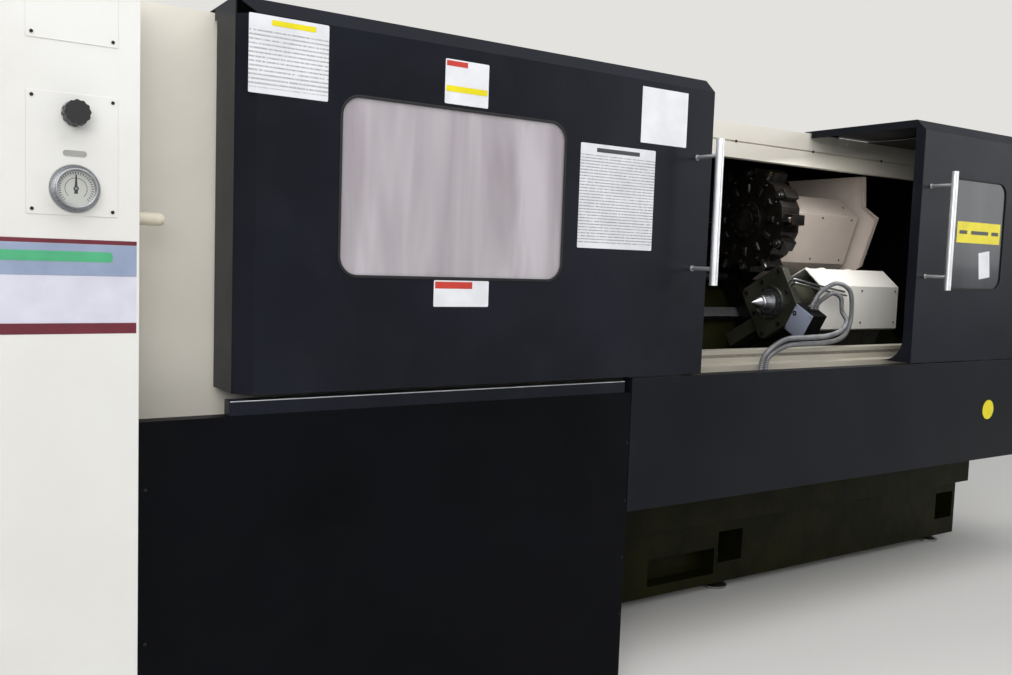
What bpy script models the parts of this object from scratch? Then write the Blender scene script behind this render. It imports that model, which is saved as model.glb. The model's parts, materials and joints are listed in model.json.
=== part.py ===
"""Slant-bed CNC turning lathe with two sliding doors, a twelve-station turret and a tailstock.

The frame: X runs along the spindle with the headstock at -X, -Y is the operator's side, Z is up.
The origin is the middle of the footprint on the floor. All sizes are in metres.
"""

import math

import bpy
import bmesh
from mathutils import Matrix, Vector

# Overall size
LENGTH = 5.20
DEPTH = 2.05
HEIGHT = 2.10

# Sheet, clearances and rounding
SHEET = 0.003
GAP = 0.0003
SIDE_GAP = 0.0005
OVERRUN = 0.01
ROOF_GAP = 0.007
DOOR_RUN_GAP = 0.005
FINE_SIDES = 48
ROUND_SIDES = 32
SMALL_SIDES = 16
SHARP_ANGLE = math.radians(35)

# Planes across the depth
HANDLE_REACH = 0.121
GUARD_INSET = 0.23
HEADER_INSET = 0.60
HEADER_DEPTH = 0.04
SPINDLE_INSET = 0.57
BASE_INSET = 0.52
REAR_SPACE_SHARE = 0.49

# Heights, stacked down from the roof; the base casting takes up what is left over the feet
AXIS_BELOW_TOP = 0.80
SILL_BELOW_AXIS = 0.23
BASE_BELOW_AXIS = 0.75
FOOT_HEIGHT = 0.05

# Slanted bed
SLANT = math.radians(60)
AXIS_TO_BED = 0.40
BED_LOW = 0.44
BED_HIGH = 0.66
BED_BACK = 0.085
BED_FOOT_HEIGHT = 0.05
BED_START = 1.0
BED_END_INSET = 0.35
RAIL_WIDTH = 0.05
RAIL_HEIGHT = 0.045
RAIL_GROOVE_DEPTH = 0.008
LOWER_RAIL_S = 0.13
UPPER_RAIL_S = 0.53
LOWER_WAY_BELOW_AXIS = 0.33
UPPER_WAY_BELOW_AXIS = 0.07
WAY_WIDTH = 0.07
WAY_HEIGHT = 0.040

# Base casting
BASE_START = 0.30
BASE_END_INSET = 0.29
BASE_LIP = 0.07
BASE_LIP_SHARE = 0.60
BASE_CHAMFER = 0.03
POCKET_DEPTH = 0.08
HAND_HOLE_WIDTH = 0.39
HAND_HOLE_GAP = 0.10
HAND_HOLE_SHARES = (0.09, 0.32)
FOOT_POCKET_WIDTH = 0.15
FOOT_POCKET_SHARES = (0.18, 0.46)
FOOT_LEFT_INSET = 0.32
FOOT_MIDDLE_OFFSET = 2.87
FOOT_RIGHT_INSET = 0.10
FOOT_RADIUS = 0.06
FOOT_PAD = 0.022
FOOT_SCREW_RADIUS = 0.015
FOOT_NUT_RADIUS = 0.028
FOOT_NUT_HEIGHT = 0.018
FOOT_INSET = 0.09

# Left cabinet and what is on it
CABINET_WIDTH = 0.503
CABINET_BOTTOM = 0.02
CABINET_KNEE_GAP = 0.012
GAUGE_OFFSET = 0.145
GAUGE_ABOVE_SILL = 0.511
GAUGE_FLANGE_RADIUS = 0.055
GAUGE_BODY_RADIUS = 0.046
GAUGE_DEPTH = 0.028
GAUGE_RIM = 0.004
GAUGE_DIAL_DEPTH = 0.012
GAUGE_PIN_RADIUS = 0.003
NEEDLE_LENGTH = 0.032
NEEDLE_TAIL = 0.012
NEEDLE_WIDTH = 0.004
NEEDLE_THICKNESS = 0.0012
NEEDLE_HUB_RADIUS = 0.006
KNOB_ABOVE_SILL = 0.683
KNOB_RADIUS = 0.029
KNOB_DEPTH = 0.042
KNOB_FLUTES = 12
FLUTE_SHARE = 0.93
BUFFER_ABOVE_SILL = 0.453
BUFFER_INSET = 0.10
BUFFER_RADIUS = 0.0165
BUFFER_LENGTH = 0.080
BUFFER_NOSE_SHARE = 0.8

# Lower covers
LOWER_PANEL_WIDTH = 1.590
PANEL_BELOW_SILL = 0.048
COVER_RETURN = 0.050
GUIDE_STRIP_HEIGHT = 0.040
GUIDE_STRIP_DEPTH = 0.045
GUIDE_STRIP_START = 0.225
GUIDE_STRIP_END_INSET = 0.030
APRON_HEIGHT = 0.4575
APRON_GAP = 0.003

# Guards behind the doors
GUARD_BELOW_SILL = 0.12
GUARD_PAST_HEADSTOCK = 0.1173
RIGHT_GUARD_WIDTH = 1.13
GUARD_WALL_HOLE_RADIUS = 0.20
GUARD_WALL_REACH = 0.46

# Header beam
HEADER_DIP = 0.006
RAIL_BAND_SHARE = 0.445
SLOT_HEIGHT = 0.006
SLOT_DEPTH = 0.010

# Rear enclosure and electrical cabinet
ENCLOSURE_LAP = 0.10
ELECTRICAL_WIDTH = 1.20
ELECTRICAL_RIGHT_INSET = 0.45
ELECTRICAL_LAP = 0.05
ELECTRICAL_BELOW_TOP = 0.15
ELECTRICAL_WALL = 0.02
HINGE_RADIUS = 0.008

# Doors
LEFT_DOOR_START = 0.745
LEFT_DOOR_WIDTH = 1.665
RIGHT_DOOR_WIDTH = 0.95
RIGHT_DOOR_END_INSET = 0.61
DOOR_ROOF_DEPTH = 0.63
DOOR_BEVEL = 0.045
DOOR_RETURN = 0.045
DOOR_ROOF_FLANGE = 0.030
DOOR_GUSSET = 0.10
BUFFER_RETURN = 0.20
GUSSET_STEPS = 8
WINDOW_RADIUS = 0.055
WINDOW_CORNER_STEPS = 8
LEFT_WINDOW_INSET = 0.277
LEFT_WINDOW_ABOVE_SILL = 0.322
LEFT_WINDOW_WIDTH = 0.753
LEFT_WINDOW_HEIGHT = 0.488
RIGHT_WINDOW_INSET = 0.220
RIGHT_WINDOW_ABOVE_SILL = 0.324
RIGHT_WINDOW_WIDTH = 0.420
RIGHT_WINDOW_HEIGHT = 0.478
PANE_MARGIN = 0.022
PANE_THICKNESS = 0.005
HANDLE_BAR_RADIUS = 0.014
HANDLE_POST_RADIUS = 0.007
HANDLE_LENGTH = 0.49
HANDLE_POST_SPACING = 0.38
HANDLE_ABOVE_SILL = 0.565
LEFT_HANDLE_INSET = 0.071
RIGHT_HANDLE_INSET = 0.058
RUNNER_LENGTH = 0.12
RUNNER_WIDTH = 0.022
RUNNER_INSET = 0.10

# Chip tray behind the apron
TRAY_START = 2.0
TRAY_END_INSET = 0.01
GUTTER_START = 1.15
GUTTER_BELOW_SILL = 0.110
TRAY_LIP_RISE = 0.055
TRAY_FRONT = 0.0503
TRAY_STEP = 0.15
TRAY_LIP = 0.214
TRAY_CREST = 0.274
TRAY_SLOPE_INSET = 0.354
TRAY_SLOPE_DROP = 0.12
TRAY_TOE = 0.035

# Headstock, spindle and chuck
HEADSTOCK_LENGTH = 0.85
HEADSTOCK_HALF = 0.24
HEADSTOCK_HEIGHT = 0.62
HEADSTOCK_CHAMFER = 0.09
SPINDLE_RADIUS = 0.095
SPINDLE_BORE = 0.045
SPINDLE_TAIL = 0.29
SPINDLE_FLANGE_RADIUS = 0.14
SPINDLE_FLANGE = 0.035
PULLEY_RADIUS = 0.15
PULLEY_WIDTH = 0.10
PULLEY_GAP = 0.035
PULLEY_RIM = 0.004
CHUCK_RADIUS = 0.1575
CHUCK_WIDTH = 0.125
CHUCK_CHAMFER = 0.008
CHUCK_GAP = 0.02
JAW_COUNT = 3
JAW_WIDTH = 0.050
JAW_LENGTH = 0.085
JAW_BASE = 0.030
JAW_STEP = 0.035
JAW_INNER = 0.055
JAW_KEY = 0.020
JAW_KEY_DEPTH = 0.012
JAW_STROKE = 0.006

# Main motor and belt
MOTOR_BEHIND_AXIS = 0.354
MOTOR_STAND = 0.085
MOTOR_RADIUS = 0.165
MOTOR_LENGTH = 0.52
MOTOR_FIN_DEPTH = 0.012
MOTOR_FINS = 20
MOTOR_SHAFT_RADIUS = 0.024
MOTOR_PULLEY_RADIUS = 0.10
MOTOR_SHOULDER_RADIUS = 0.06
MOTOR_FOOT_WIDTH = 0.30
BELT_THICKNESS = 0.008
BELT_INSET = 0.010
BELT_ARC_STEPS = 24

# Carriage, cross slide and turret
CARRIAGE_PARK = 1.26
CARRIAGE_LENGTH = 0.56
SADDLE_LOW = 0.07
SADDLE_HIGH = 0.60
SADDLE_LIFT = 0.010
SADDLE_TOP = 0.110
TONGUE_WIDTH = 0.16
TONGUE_HEIGHT = 0.025
SLIDE_LOW = 0.225
SLIDE_HIGH = 0.63
SLIDE_TOP = 0.190
SLIDE_SIDE_INSET = 0.03
TURRET_S = 0.44
HOUSING_LOW_S = 0.32
HOUSING_LENGTH = 0.235
HOUSING_HEIGHT = 0.285
HOUSING_SHARES = ((0.0, 0.0), (0.0, 0.74), (0.30, 1.0), (0.77, 1.0), (1.0, 0.88), (1.0, 0.0))
HOUSING_SIDE_INSET = 0.045
HOUSING_BOSS_RADIUS = 0.065
DISC_RADIUS = 0.215
DISC_WIDTH = 0.12
DISC_OFFSET = 0.065
DISC_CHAMFER = 0.02
DISC_HUB_RADIUS = 0.09
DISC_HUB_HEIGHT = 0.012
STATIONS = 12
HOLDER_REACH = 0.262
HOLDER_WIDTH = 0.058
HOLDER_LENGTH = 0.085
HOLDER_TIP_SHARE = 0.8
SHORT_HOLDER_SHARE = 0.65
COVER_LOW_S = 0.235
COVER_LENGTH = 0.429
COVER_HEIGHT = 0.340
COVER_SHARES = ((0.0, 0.0), (0.035, 0.465), (0.427, 1.0), (0.75, 0.83), (1.0, 0.285), (0.967, 0.0))
END_COVER_LOW_S = 0.198
END_COVER_LENGTH = 0.422
END_COVER_FOOT = 0.078
END_COVER_HEIGHT = 0.536
END_COVER_SHARES = ((1.0, 0.0), (0.017, 0.0), (0.0, 0.645), (0.398, 1.0), (0.604, 0.925))
END_COVER_FRONT = 0.086
END_COVER_BACK = 0.576
END_COVER_TAIL_S = 0.72
END_COVER_TAIL_H = 0.20
END_COVER_DROP = 0.006
END_COVER_LIP = 0.024

# Tailstock
TAILSTOCK_PARK = 1.45
PLATE_WIDTH = 0.040
PLATE_HALF = 0.13
PLATE_CHAMFER = 0.018
QUILL_NOSE_RADIUS = 0.088
NOSE_END = 0.19
TAILSTOCK_LENGTH = 0.757
TAILSTOCK_BELOW_AXIS = 0.40
TAILSTOCK_WIDTH = 0.505
TAILSTOCK_CROWN = 0.10
TAILSTOCK_FOOT_SHARE = 0.852
TAILSTOCK_SHARES = ((0.0, 0.26), (0.24, 0.34), (0.40, 0.60), (0.60, 0.84), (0.65, 0.96), (0.79, 1.0),
                    (0.95, 0.95), (1.0, 0.80), (0.93, 0.56), (0.852, 0.40))
TAIL_COVER_BELOW_AXIS = 0.165
TAIL_COVER_LOW_H = 0.33
TAIL_COVER_WIDTH = 0.29
TAIL_COVER_HEIGHT = 0.2275
TAIL_COVER_SHARES = ((0.0, 0.505), (0.0, 0.56), (0.60, 1.0), (0.986, 0.813), (1.0, 0.0), (0.959, 0.0))
TAILSTOCK_COVER_LENGTH = 0.58
QUILL_RADIUS = 0.050
QUILL_LENGTH = 0.42
QUILL_REST = 0.025
QUILL_BORE_RADIUS = 0.019
QUILL_BORE_DEPTH = 0.10
CENTRE_BODY_RADIUS = 0.034
CENTRE_BODY_LENGTH = 0.045
CENTRE_TIP_LENGTH = 0.055
CENTRE_TIP_SHARE = 0.75
CENTRE_SHANK_RADIUS = 0.0187
CENTRE_STEM_RADIUS = 0.012
CENTRE_STEM_LENGTH = 0.036
CENTRE_CHAMFER = 0.003
CENTRE_COLLAR = 0.006
TERMINAL_BOX_WIDTH = 0.110
TERMINAL_BOX_HEIGHT = 0.134
TERMINAL_BOX_DEPTH = 0.090
TERMINAL_BOX_TILT = math.radians(29)
TERMINAL_BOX_BEFORE_AXIS = 0.168
TERMINAL_BOX_BELOW_AXIS = 0.079

# Cable chain and conduits
CHAIN_BEFORE_TAILSTOCK = 1.25
CHAIN_LENGTH = 0.72
CHAIN_WIDTH = 0.046
CHAIN_HEIGHT = 0.044
CHAIN_PITCH = 0.045
CHAIN_NOTCH = 0.006
CHAIN_INSET = 0.068
CONDUIT_RADIUS = 0.011
CONDUIT_SPACING = 0.026
CONDUIT_SAMPLES = 60

# Ball screw
SCREW_RADIUS = 0.020
SCREW_S = 0.33
SCREW_H = 0.045
SCREW_BLOCK = 0.07
SCREW_COLLAR_SHARE = 1.5
SCREW_TROUGH = 0.10
TROUGH_DEPTH = 0.055

# Operator console
CONSOLE_WIDTH = 0.48
CONSOLE_RIGHT_INSET = 0.03
CONSOLE_ABOVE_SILL = 0.11
CONSOLE_HEIGHT = 0.68
CONSOLE_DEPTH = 0.26
CONSOLE_TILT_DEPTH = 0.05
SCREEN_WIDTH = 0.30
SCREEN_HEIGHT = 0.23
SCREEN_DEPTH = 0.006
SCREEN_TOP_MARGIN = 0.05
SCREEN_LEFT_MARGIN = 0.04
BUTTON_ROW_RISE = 0.08
BUTTON_INSET = 0.07
ESTOP_RADIUS = 0.020
ESTOP_STEM_RADIUS = 0.011
ESTOP_STEM = 0.016
ESTOP_CAP = 0.012
ESTOP_TRAVEL = 0.006
BUTTON_RADIUS = 0.014
BUTTON_DEPTH = 0.012
WELL_DEPTH = 0.020
WHEEL_RADIUS = 0.034
WHEEL_DEPTH = 0.018
CRANK_RADIUS = 0.006
CRANK_LENGTH = 0.020
CRANK_OFFSET = 0.024

# Planes that follow from the sizes above
LEFT = -LENGTH / 2
RIGHT = LENGTH / 2
FACE_Y = -DEPTH / 2 + HANDLE_REACH
GUARD_Y = FACE_Y + GUARD_INSET
HEADER_Y = FACE_Y + HEADER_INSET
HEADER_BACK = HEADER_Y + HEADER_DEPTH
AXIS_Y = FACE_Y + SPINDLE_INSET
BASE_Y = FACE_Y + BASE_INSET
BED_TOP_Y = AXIS_Y + BED_HIGH * math.cos(SLANT) + AXIS_TO_BED * math.sin(SLANT)
BED_BACK_Y = BED_TOP_Y + BED_BACK
BASE_BACK = BED_BACK_Y + (DEPTH / 2 - BED_BACK_Y) * REAR_SPACE_SHARE
AXIS_Z = HEIGHT - AXIS_BELOW_TOP
SILL_Z = AXIS_Z - SILL_BELOW_AXIS
BASE_TOP = AXIS_Z - BASE_BELOW_AXIS
BASE_HEIGHT = BASE_TOP - FOOT_HEIGHT
GUARD_TOP = HEIGHT - SHEET - ROOF_GAP
GUARD_BOTTOM = SILL_Z - GUARD_BELOW_SILL
HEADER_BOTTOM = AXIS_Z + TURRET_S * math.sin(SLANT) + HOLDER_REACH - HEADER_DIP
LOWER_PANEL_TOP = SILL_Z - PANEL_BELOW_SILL
DOOR_BOTTOM = SILL_Z + DOOR_RUN_GAP
HANDLE_Z = SILL_Z + HANDLE_ABOVE_SILL
GUTTER_Z = SILL_Z - GUTTER_BELOW_SILL
TRAY_LIP_Z = SILL_Z + TRAY_LIP_RISE
ELECTRICAL_BOTTOM = BASE_TOP - ELECTRICAL_LAP
ELECTRICAL_TOP = HEIGHT - ELECTRICAL_BELOW_TOP
CONSOLE_BOTTOM = SILL_Z + CONSOLE_ABOVE_SILL
CONSOLE_TOP = CONSOLE_BOTTOM + CONSOLE_HEIGHT
BUTTON_ROW_Z = CONSOLE_BOTTOM + BUTTON_ROW_RISE
MOTOR_Y = AXIS_Y + MOTOR_BEHIND_AXIS
MOTOR_Z = BASE_TOP + MOTOR_STAND + MOTOR_RADIUS
CABINET_RIGHT = LEFT + CABINET_WIDTH
APRON_LEFT = CABINET_RIGHT + LOWER_PANEL_WIDTH
BED_LEFT = LEFT + BED_START
BED_RIGHT = RIGHT - BED_END_INSET
BASE_LEFT = LEFT + BASE_START
BASE_RIGHT = RIGHT - BASE_END_INSET
LEFT_DOOR_LEFT = LEFT + LEFT_DOOR_START
LEFT_DOOR_RIGHT = LEFT_DOOR_LEFT + LEFT_DOOR_WIDTH
RIGHT_DOOR_RIGHT = RIGHT - RIGHT_DOOR_END_INSET
RIGHT_DOOR_LEFT = RIGHT_DOOR_RIGHT - RIGHT_DOOR_WIDTH
CARRIAGE_LEFT = BED_RIGHT - CARRIAGE_PARK
CARRIAGE_RIGHT = CARRIAGE_LEFT + CARRIAGE_LENGTH
TAILSTOCK_LEFT = BED_RIGHT - TAILSTOCK_PARK
TAILSTOCK_RIGHT = TAILSTOCK_LEFT + TAILSTOCK_LENGTH
HEADSTOCK_RIGHT = BED_LEFT + HEADSTOCK_LENGTH
CHUCK_LEFT = HEADSTOCK_RIGHT + CHUCK_GAP + SPINDLE_FLANGE
DISC_RIGHT = CARRIAGE_LEFT + HOUSING_SIDE_INSET - DISC_OFFSET

UP_SLOPE = Vector((0.0, math.cos(SLANT), math.sin(SLANT)))
OFF_BED = Vector((0.0, -math.sin(SLANT), math.cos(SLANT)))
X_WAY = Vector((1.0, 0.0, 0.0))
Y_WAY = Vector((0.0, 1.0, 0.0))
Z_WAY = Vector((0.0, 0.0, 1.0))

COLOURS = {
    "charcoal": ((0.021, 0.024, 0.034), 0.45, 0.0),
    "dark_panel": ((0.010, 0.011, 0.014), 0.50, 0.0),
    "cream": ((0.78, 0.74, 0.64), 0.40, 0.0),
    "white": ((0.85, 0.85, 0.82), 0.40, 0.0),
    "cast_dark": ((0.020, 0.020, 0.012), 0.55, 0.2),
    "bright_steel": ((0.62, 0.63, 0.64), 0.25, 1.0),
    "black_steel": ((0.03, 0.026, 0.022), 0.45, 0.7),
    "olive": ((0.06, 0.06, 0.045), 0.50, 0.3),
    "glass": ((0.60, 0.62, 0.62), 0.15, 0.0),
    "black_plastic": ((0.02, 0.02, 0.02), 0.50, 0.0),
    "grey": ((0.42, 0.44, 0.47), 0.45, 0.1),
    "red": ((0.60, 0.02, 0.02), 0.35, 0.0),
    "green": ((0.03, 0.35, 0.08), 0.35, 0.0),
    "rubber": ((0.03, 0.03, 0.03), 0.80, 0.0),
}


def clear_scene():
    """Remove whatever the start-up file holds."""
    for obj in list(bpy.data.objects):
        bpy.data.objects.remove(obj, do_unlink=True)


def material(name):
    """One Principled material per finish, made on first use."""
    found = bpy.data.materials.get(name)
    if found:
        return found
    colour, roughness, metallic = COLOURS[name]
    made = bpy.data.materials.new(name)
    made.use_nodes = True
    shader = made.node_tree.nodes["Principled BSDF"]
    shader.inputs["Base Color"].default_value = (*colour, 1.0)
    shader.inputs["Roughness"].default_value = roughness
    shader.inputs["Metallic"].default_value = metallic
    return made


def new_object(name, bm, finish):
    """Turn a bmesh into a named object with outward faces and smooth round sides."""
    bmesh.ops.recalc_face_normals(bm, faces=bm.faces)
    mesh = bpy.data.meshes.new(name)
    bm.to_mesh(mesh)
    bm.free()
    mesh.shade_smooth()
    mesh.set_sharp_from_angle(angle=SHARP_ANGLE)
    obj = bpy.data.objects.new(name, mesh)
    mesh.materials.append(material(finish))
    bpy.context.scene.collection.objects.link(obj)
    return obj


def prism(name, outline, start, end, way, finish):
    """Solid of a flat outline pushed from start to end along X, Y or Z."""
    places = {
        "X": lambda a, b, at: (at, a, b),
        "Y": lambda a, b, at: (a, at, b),
        "Z": lambda a, b, at: (a, b, at),
    }[way]
    bm = bmesh.new()
    near = [bm.verts.new(places(a, b, start)) for a, b in outline]
    face = bm.faces.new(near)
    pushed = bmesh.ops.extrude_face_region(bm, geom=[face])
    shift = Vector(places(0.0, 0.0, end - start))
    bmesh.ops.translate(bm, vec=shift, verts=[v for v in pushed["geom"] if isinstance(v, bmesh.types.BMVert)])
    return new_object(name, bm, finish)


def block(name, low, high, finish):
    """Upright box between two corners."""
    (x0, y0, z0), (x1, y1, z1) = low, high
    return prism(name, [(x0, y0), (x1, y0), (x1, y1), (x0, y1)], z0, z1, "Z", finish)


def turned(name, profile, centre, way, finish, sides=ROUND_SIDES, closed=False):
    """Solid of revolution. profile holds (radius, distance along the axis) pairs."""
    way = way.normalized()
    side = way.orthogonal().normalized()
    other = way.cross(side)
    bm = bmesh.new()
    rings = []
    for radius, along in profile:
        middle = Vector(centre) + way * along
        if radius == 0.0:
            rings.append([bm.verts.new(middle)])
            continue
        ring = []
        for i in range(sides):
            angle = math.tau * i / sides
            ring.append(bm.verts.new(middle + (side * math.cos(angle) + other * math.sin(angle)) * radius))
        rings.append(ring)
    pairs = list(zip(rings, rings[1:]))
    if closed:
        pairs.append((rings[-1], rings[0]))
    for first, second in pairs:
        for i in range(sides):
            j = (i + 1) % sides
            corners = [first[i % len(first)], first[j % len(first)],
                       second[j % len(second)], second[i % len(second)]]
            unique = [v for n, v in enumerate(corners) if v not in corners[:n]]
            if len(unique) > 2:
                bm.faces.new(unique)
    return new_object(name, bm, finish)


def rod(name, start, end, radius, finish, sides=SMALL_SIDES):
    """Plain round bar between two points."""
    way = Vector(end) - Vector(start)
    profile = [(0.0, 0.0), (radius, 0.0), (radius, way.length), (0.0, way.length)]
    return turned(name, profile, start, way, finish, sides)


def with_boolean(target, tool, operation):
    """Add an exact Boolean and keep the tool as a wire guide."""
    step = target.modifiers.new(operation.title(), "BOOLEAN")
    step.operation = operation
    step.solver = "EXACT"
    step.object = tool
    tool.hide_render = True
    tool.display_type = "WIRE"
    return target


def carve(target, *tools):
    """Cut each tool out of the target."""
    for tool in tools:
        with_boolean(target, tool, "DIFFERENCE")
    return target


def weld(target, *tools):
    """Join each tool to the target as one body."""
    for tool in tools:
        with_boolean(target, tool, "UNION")
    return target


def pivot(obj, point):
    """Put an object's origin on its joint, with the solid where it was."""
    point = Vector(point)
    obj.data.transform(Matrix.Translation(-point))
    obj.location = point
    return obj


def carrier(name, point, children):
    """Empty on a joint that carries the pieces that move with it."""
    empty = bpy.data.objects.new(name, None)
    empty.location = Vector(point)
    bpy.context.scene.collection.objects.link(empty)
    for child in children:
        child.parent = empty
        child.matrix_parent_inverse = Matrix.Translation(-Vector(point))
    return empty


def bed_yz(s, h):
    """(y, z) of a place s up the slope from the spindle axis and h off the bed's face."""
    rise = UP_SLOPE * s + OFF_BED * (h - AXIS_TO_BED)
    return (AXIS_Y + rise.y, AXIS_Z + rise.z)


def bed_prism(name, outline, start, end, finish, lift=0.0):
    """Prism along X with its outline in bed coordinates (s, h)."""
    return prism(name, [bed_yz(s, h + lift) for s, h in outline], start, end, "X", finish)


def rectangle(a0, b0, a1, b1):
    """Corners of an upright rectangle."""
    return [(a0, b0), (a1, b0), (a1, b1), (a0, b1)]


def rounded_rectangle(a0, b0, a1, b1, radius, steps):
    """Rectangle with quarter-circle corners."""
    points = []
    corners = [(a1 - radius, b0 + radius, -90), (a1 - radius, b1 - radius, 0),
               (a0 + radius, b1 - radius, 90), (a0 + radius, b0 + radius, 180)]
    for a, b, first in corners:
        for i in range(steps + 1):
            angle = math.radians(first + 90 * i / steps)
            points.append((a + radius * math.cos(angle), b + radius * math.sin(angle)))
    return points


def stretched(shares, start, size):
    """Points given as shares of a size, set out from a starting corner."""
    return [(start[0] + a * size[0], start[1] + b * size[1]) for a, b in shares]


def folded_outline(path, thickness):
    """Closed outline of a sheet folded along a path, thick to the left of it."""
    points = [Vector(p) for p in path]
    ways = [(b - a).normalized() for a, b in zip(points, points[1:])]
    sides = [Vector((-w.y, w.x)) for w in ways]
    offset = [points[0] + sides[0] * thickness]
    for here, first, second in zip(points[1:-1], sides, sides[1:]):
        offset.append(here + (first + second) * (thickness / (1 + first.dot(second))))
    offset.append(points[-1] + sides[-1] * thickness)
    return [tuple(p) for p in points + offset[::-1]]


def shell(name, outline, start, end, way, finish, inner_outline, inner_start, inner_end):
    """Sheet-metal box: an outer prism with an inner prism cut out of it."""
    outer = prism(name, outline, start, end, way, finish)
    inner = prism(name + "_hollow", inner_outline, inner_start, inner_end, way, finish)
    return carve(outer, inner)


def base_outline():
    """Section of the base casting, with the prouder upper flange."""
    front = BASE_Y
    lip = BASE_Y - BASE_LIP
    lip_z = FOOT_HEIGHT + BASE_HEIGHT * BASE_LIP_SHARE
    return [(front, FOOT_HEIGHT), (front, lip_z), (lip, lip_z), (lip, BASE_TOP - BASE_CHAMFER),
            (lip + BASE_CHAMFER, BASE_TOP), (BASE_BACK, BASE_TOP), (BASE_BACK, FOOT_HEIGHT)]


def foot_places():
    """(x, y, y side) of every levelling foot, front row then back row."""
    rows = ((BASE_Y + FOOT_INSET, -1), (BASE_BACK - FOOT_INSET, 1))
    columns = (BASE_LEFT + FOOT_LEFT_INSET, BASE_LEFT + FOOT_MIDDLE_OFFSET, BASE_RIGHT - FOOT_RIGHT_INSET)
    return [(x, y, side) for y, side in rows for x in columns]


def make_base():
    """Cast base with its hand hole and the pockets that the levelling screws stand in."""
    base = prism("bed_base", base_outline(), BASE_LEFT, BASE_RIGHT, "X", "cast_dark")
    low, high = (FOOT_HEIGHT + BASE_HEIGHT * share for share in HAND_HOLE_SHARES)
    x1 = BASE_LEFT + FOOT_MIDDLE_OFFSET - HAND_HOLE_GAP
    hole = block("hand_hole", (x1 - HAND_HOLE_WIDTH, BASE_Y - OVERRUN, low), (x1, BASE_Y + POCKET_DEPTH, high),
                 "cast_dark")
    carve(base, hole)
    half = FOOT_POCKET_WIDTH / 2
    z0, z1 = (FOOT_HEIGHT + BASE_HEIGHT * share for share in FOOT_POCKET_SHARES)
    for number, (x, y, side) in enumerate(foot_places(), 1):
        outside = (BASE_Y - OVERRUN) if side < 0 else (BASE_BACK + OVERRUN)
        inside = y + side * -FOOT_INSET
        pocket = block(f"foot_pocket_{number}", (x - half, min(outside, inside), z0),
                       (x + half, max(outside, inside), z1), "cast_dark")
        screw_way = rod(f"foot_hole_{number}", (x, y, FOOT_HEIGHT - OVERRUN), (x, y, z0 + OVERRUN),
                        FOOT_SCREW_RADIUS + GAP, "cast_dark")
        carve(base, pocket, screw_way)
    return base


def make_feet():
    """Levelling feet: a round pad, a nut under the base and a screw up into the pocket."""
    nut_low = FOOT_HEIGHT - GAP - FOOT_NUT_HEIGHT
    top = FOOT_HEIGHT + BASE_HEIGHT * FOOT_POCKET_SHARES[0] + FOOT_NUT_HEIGHT
    for number, (x, y, _) in enumerate(foot_places(), 1):
        profile = [(0.0, 0.0), (FOOT_RADIUS, 0.0), (FOOT_RADIUS, FOOT_PAD / 2), (FOOT_NUT_RADIUS, FOOT_PAD),
                   (FOOT_SCREW_RADIUS, FOOT_PAD), (FOOT_SCREW_RADIUS, nut_low), (FOOT_NUT_RADIUS, nut_low),
                   (FOOT_NUT_RADIUS, FOOT_HEIGHT - GAP), (FOOT_SCREW_RADIUS, FOOT_HEIGHT - GAP),
                   (FOOT_SCREW_RADIUS, top), (0.0, top)]
        turned(f"levelling_foot_{number}", profile, (x, y, 0.0), Z_WAY, "bright_steel", SMALL_SIDES)


def make_slant_bed():
    """Slanted bed casting: a wedge with the tailstock's ways and a trough for the ball screw."""
    low_y, low_z = bed_yz(-BED_LOW, 0.0)
    high_y, high_z = bed_yz(BED_HIGH, 0.0)
    back = BED_BACK_Y
    bottom = BASE_TOP + GAP
    outline = [(BASE_Y, bottom), (BASE_Y, bottom + BED_FOOT_HEIGHT), (low_y, low_z), (high_y, high_z),
               (back, high_z), (back, bottom)]
    bed = prism("slant_bed", outline, BED_LEFT, BED_RIGHT, "X", "cast_dark")
    for number, s in enumerate((-LOWER_WAY_BELOW_AXIS, -UPPER_WAY_BELOW_AXIS), 1):
        section = rectangle(s - WAY_WIDTH / 2, -OVERRUN, s + WAY_WIDTH / 2, WAY_HEIGHT)
        weld(bed, bed_prism(f"tailstock_way_{number}", section, HEADSTOCK_RIGHT + SIDE_GAP, BED_RIGHT,
                            "cast_dark"))
    for side, x in (("left", HEADSTOCK_RIGHT + SIDE_GAP), ("right", BED_RIGHT - SCREW_BLOCK)):
        section = rectangle(SCREW_S - SCREW_TROUGH / 2, -OVERRUN, SCREW_S + SCREW_TROUGH / 2, SCREW_H * 2)
        weld(bed, bed_prism(f"screw_bearing_{side}", section, x, x + SCREW_BLOCK - SIDE_GAP, "cast_dark"))
    section = rectangle(SCREW_S - SCREW_TROUGH / 2, SCREW_H - TROUGH_DEPTH * 2, SCREW_S + SCREW_TROUGH / 2,
                        SCREW_H + TROUGH_DEPTH)
    carve(bed, bed_prism("screw_trough", section, HEADSTOCK_RIGHT + SCREW_BLOCK, BED_RIGHT - SCREW_BLOCK,
                         "cast_dark"))
    for number, s in enumerate((LOWER_RAIL_S, UPPER_RAIL_S), 1):
        section = rectangle(s - RAIL_WIDTH / 2 - SIDE_GAP, -RAIL_GROOVE_DEPTH - GAP,
                            s + RAIL_WIDTH / 2 + SIDE_GAP, OVERRUN)
        carve(bed, bed_prism(f"rail_groove_{number}", section, HEADSTOCK_RIGHT + OVERRUN, BED_RIGHT + OVERRUN,
                             "cast_dark"))
    return bed


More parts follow.
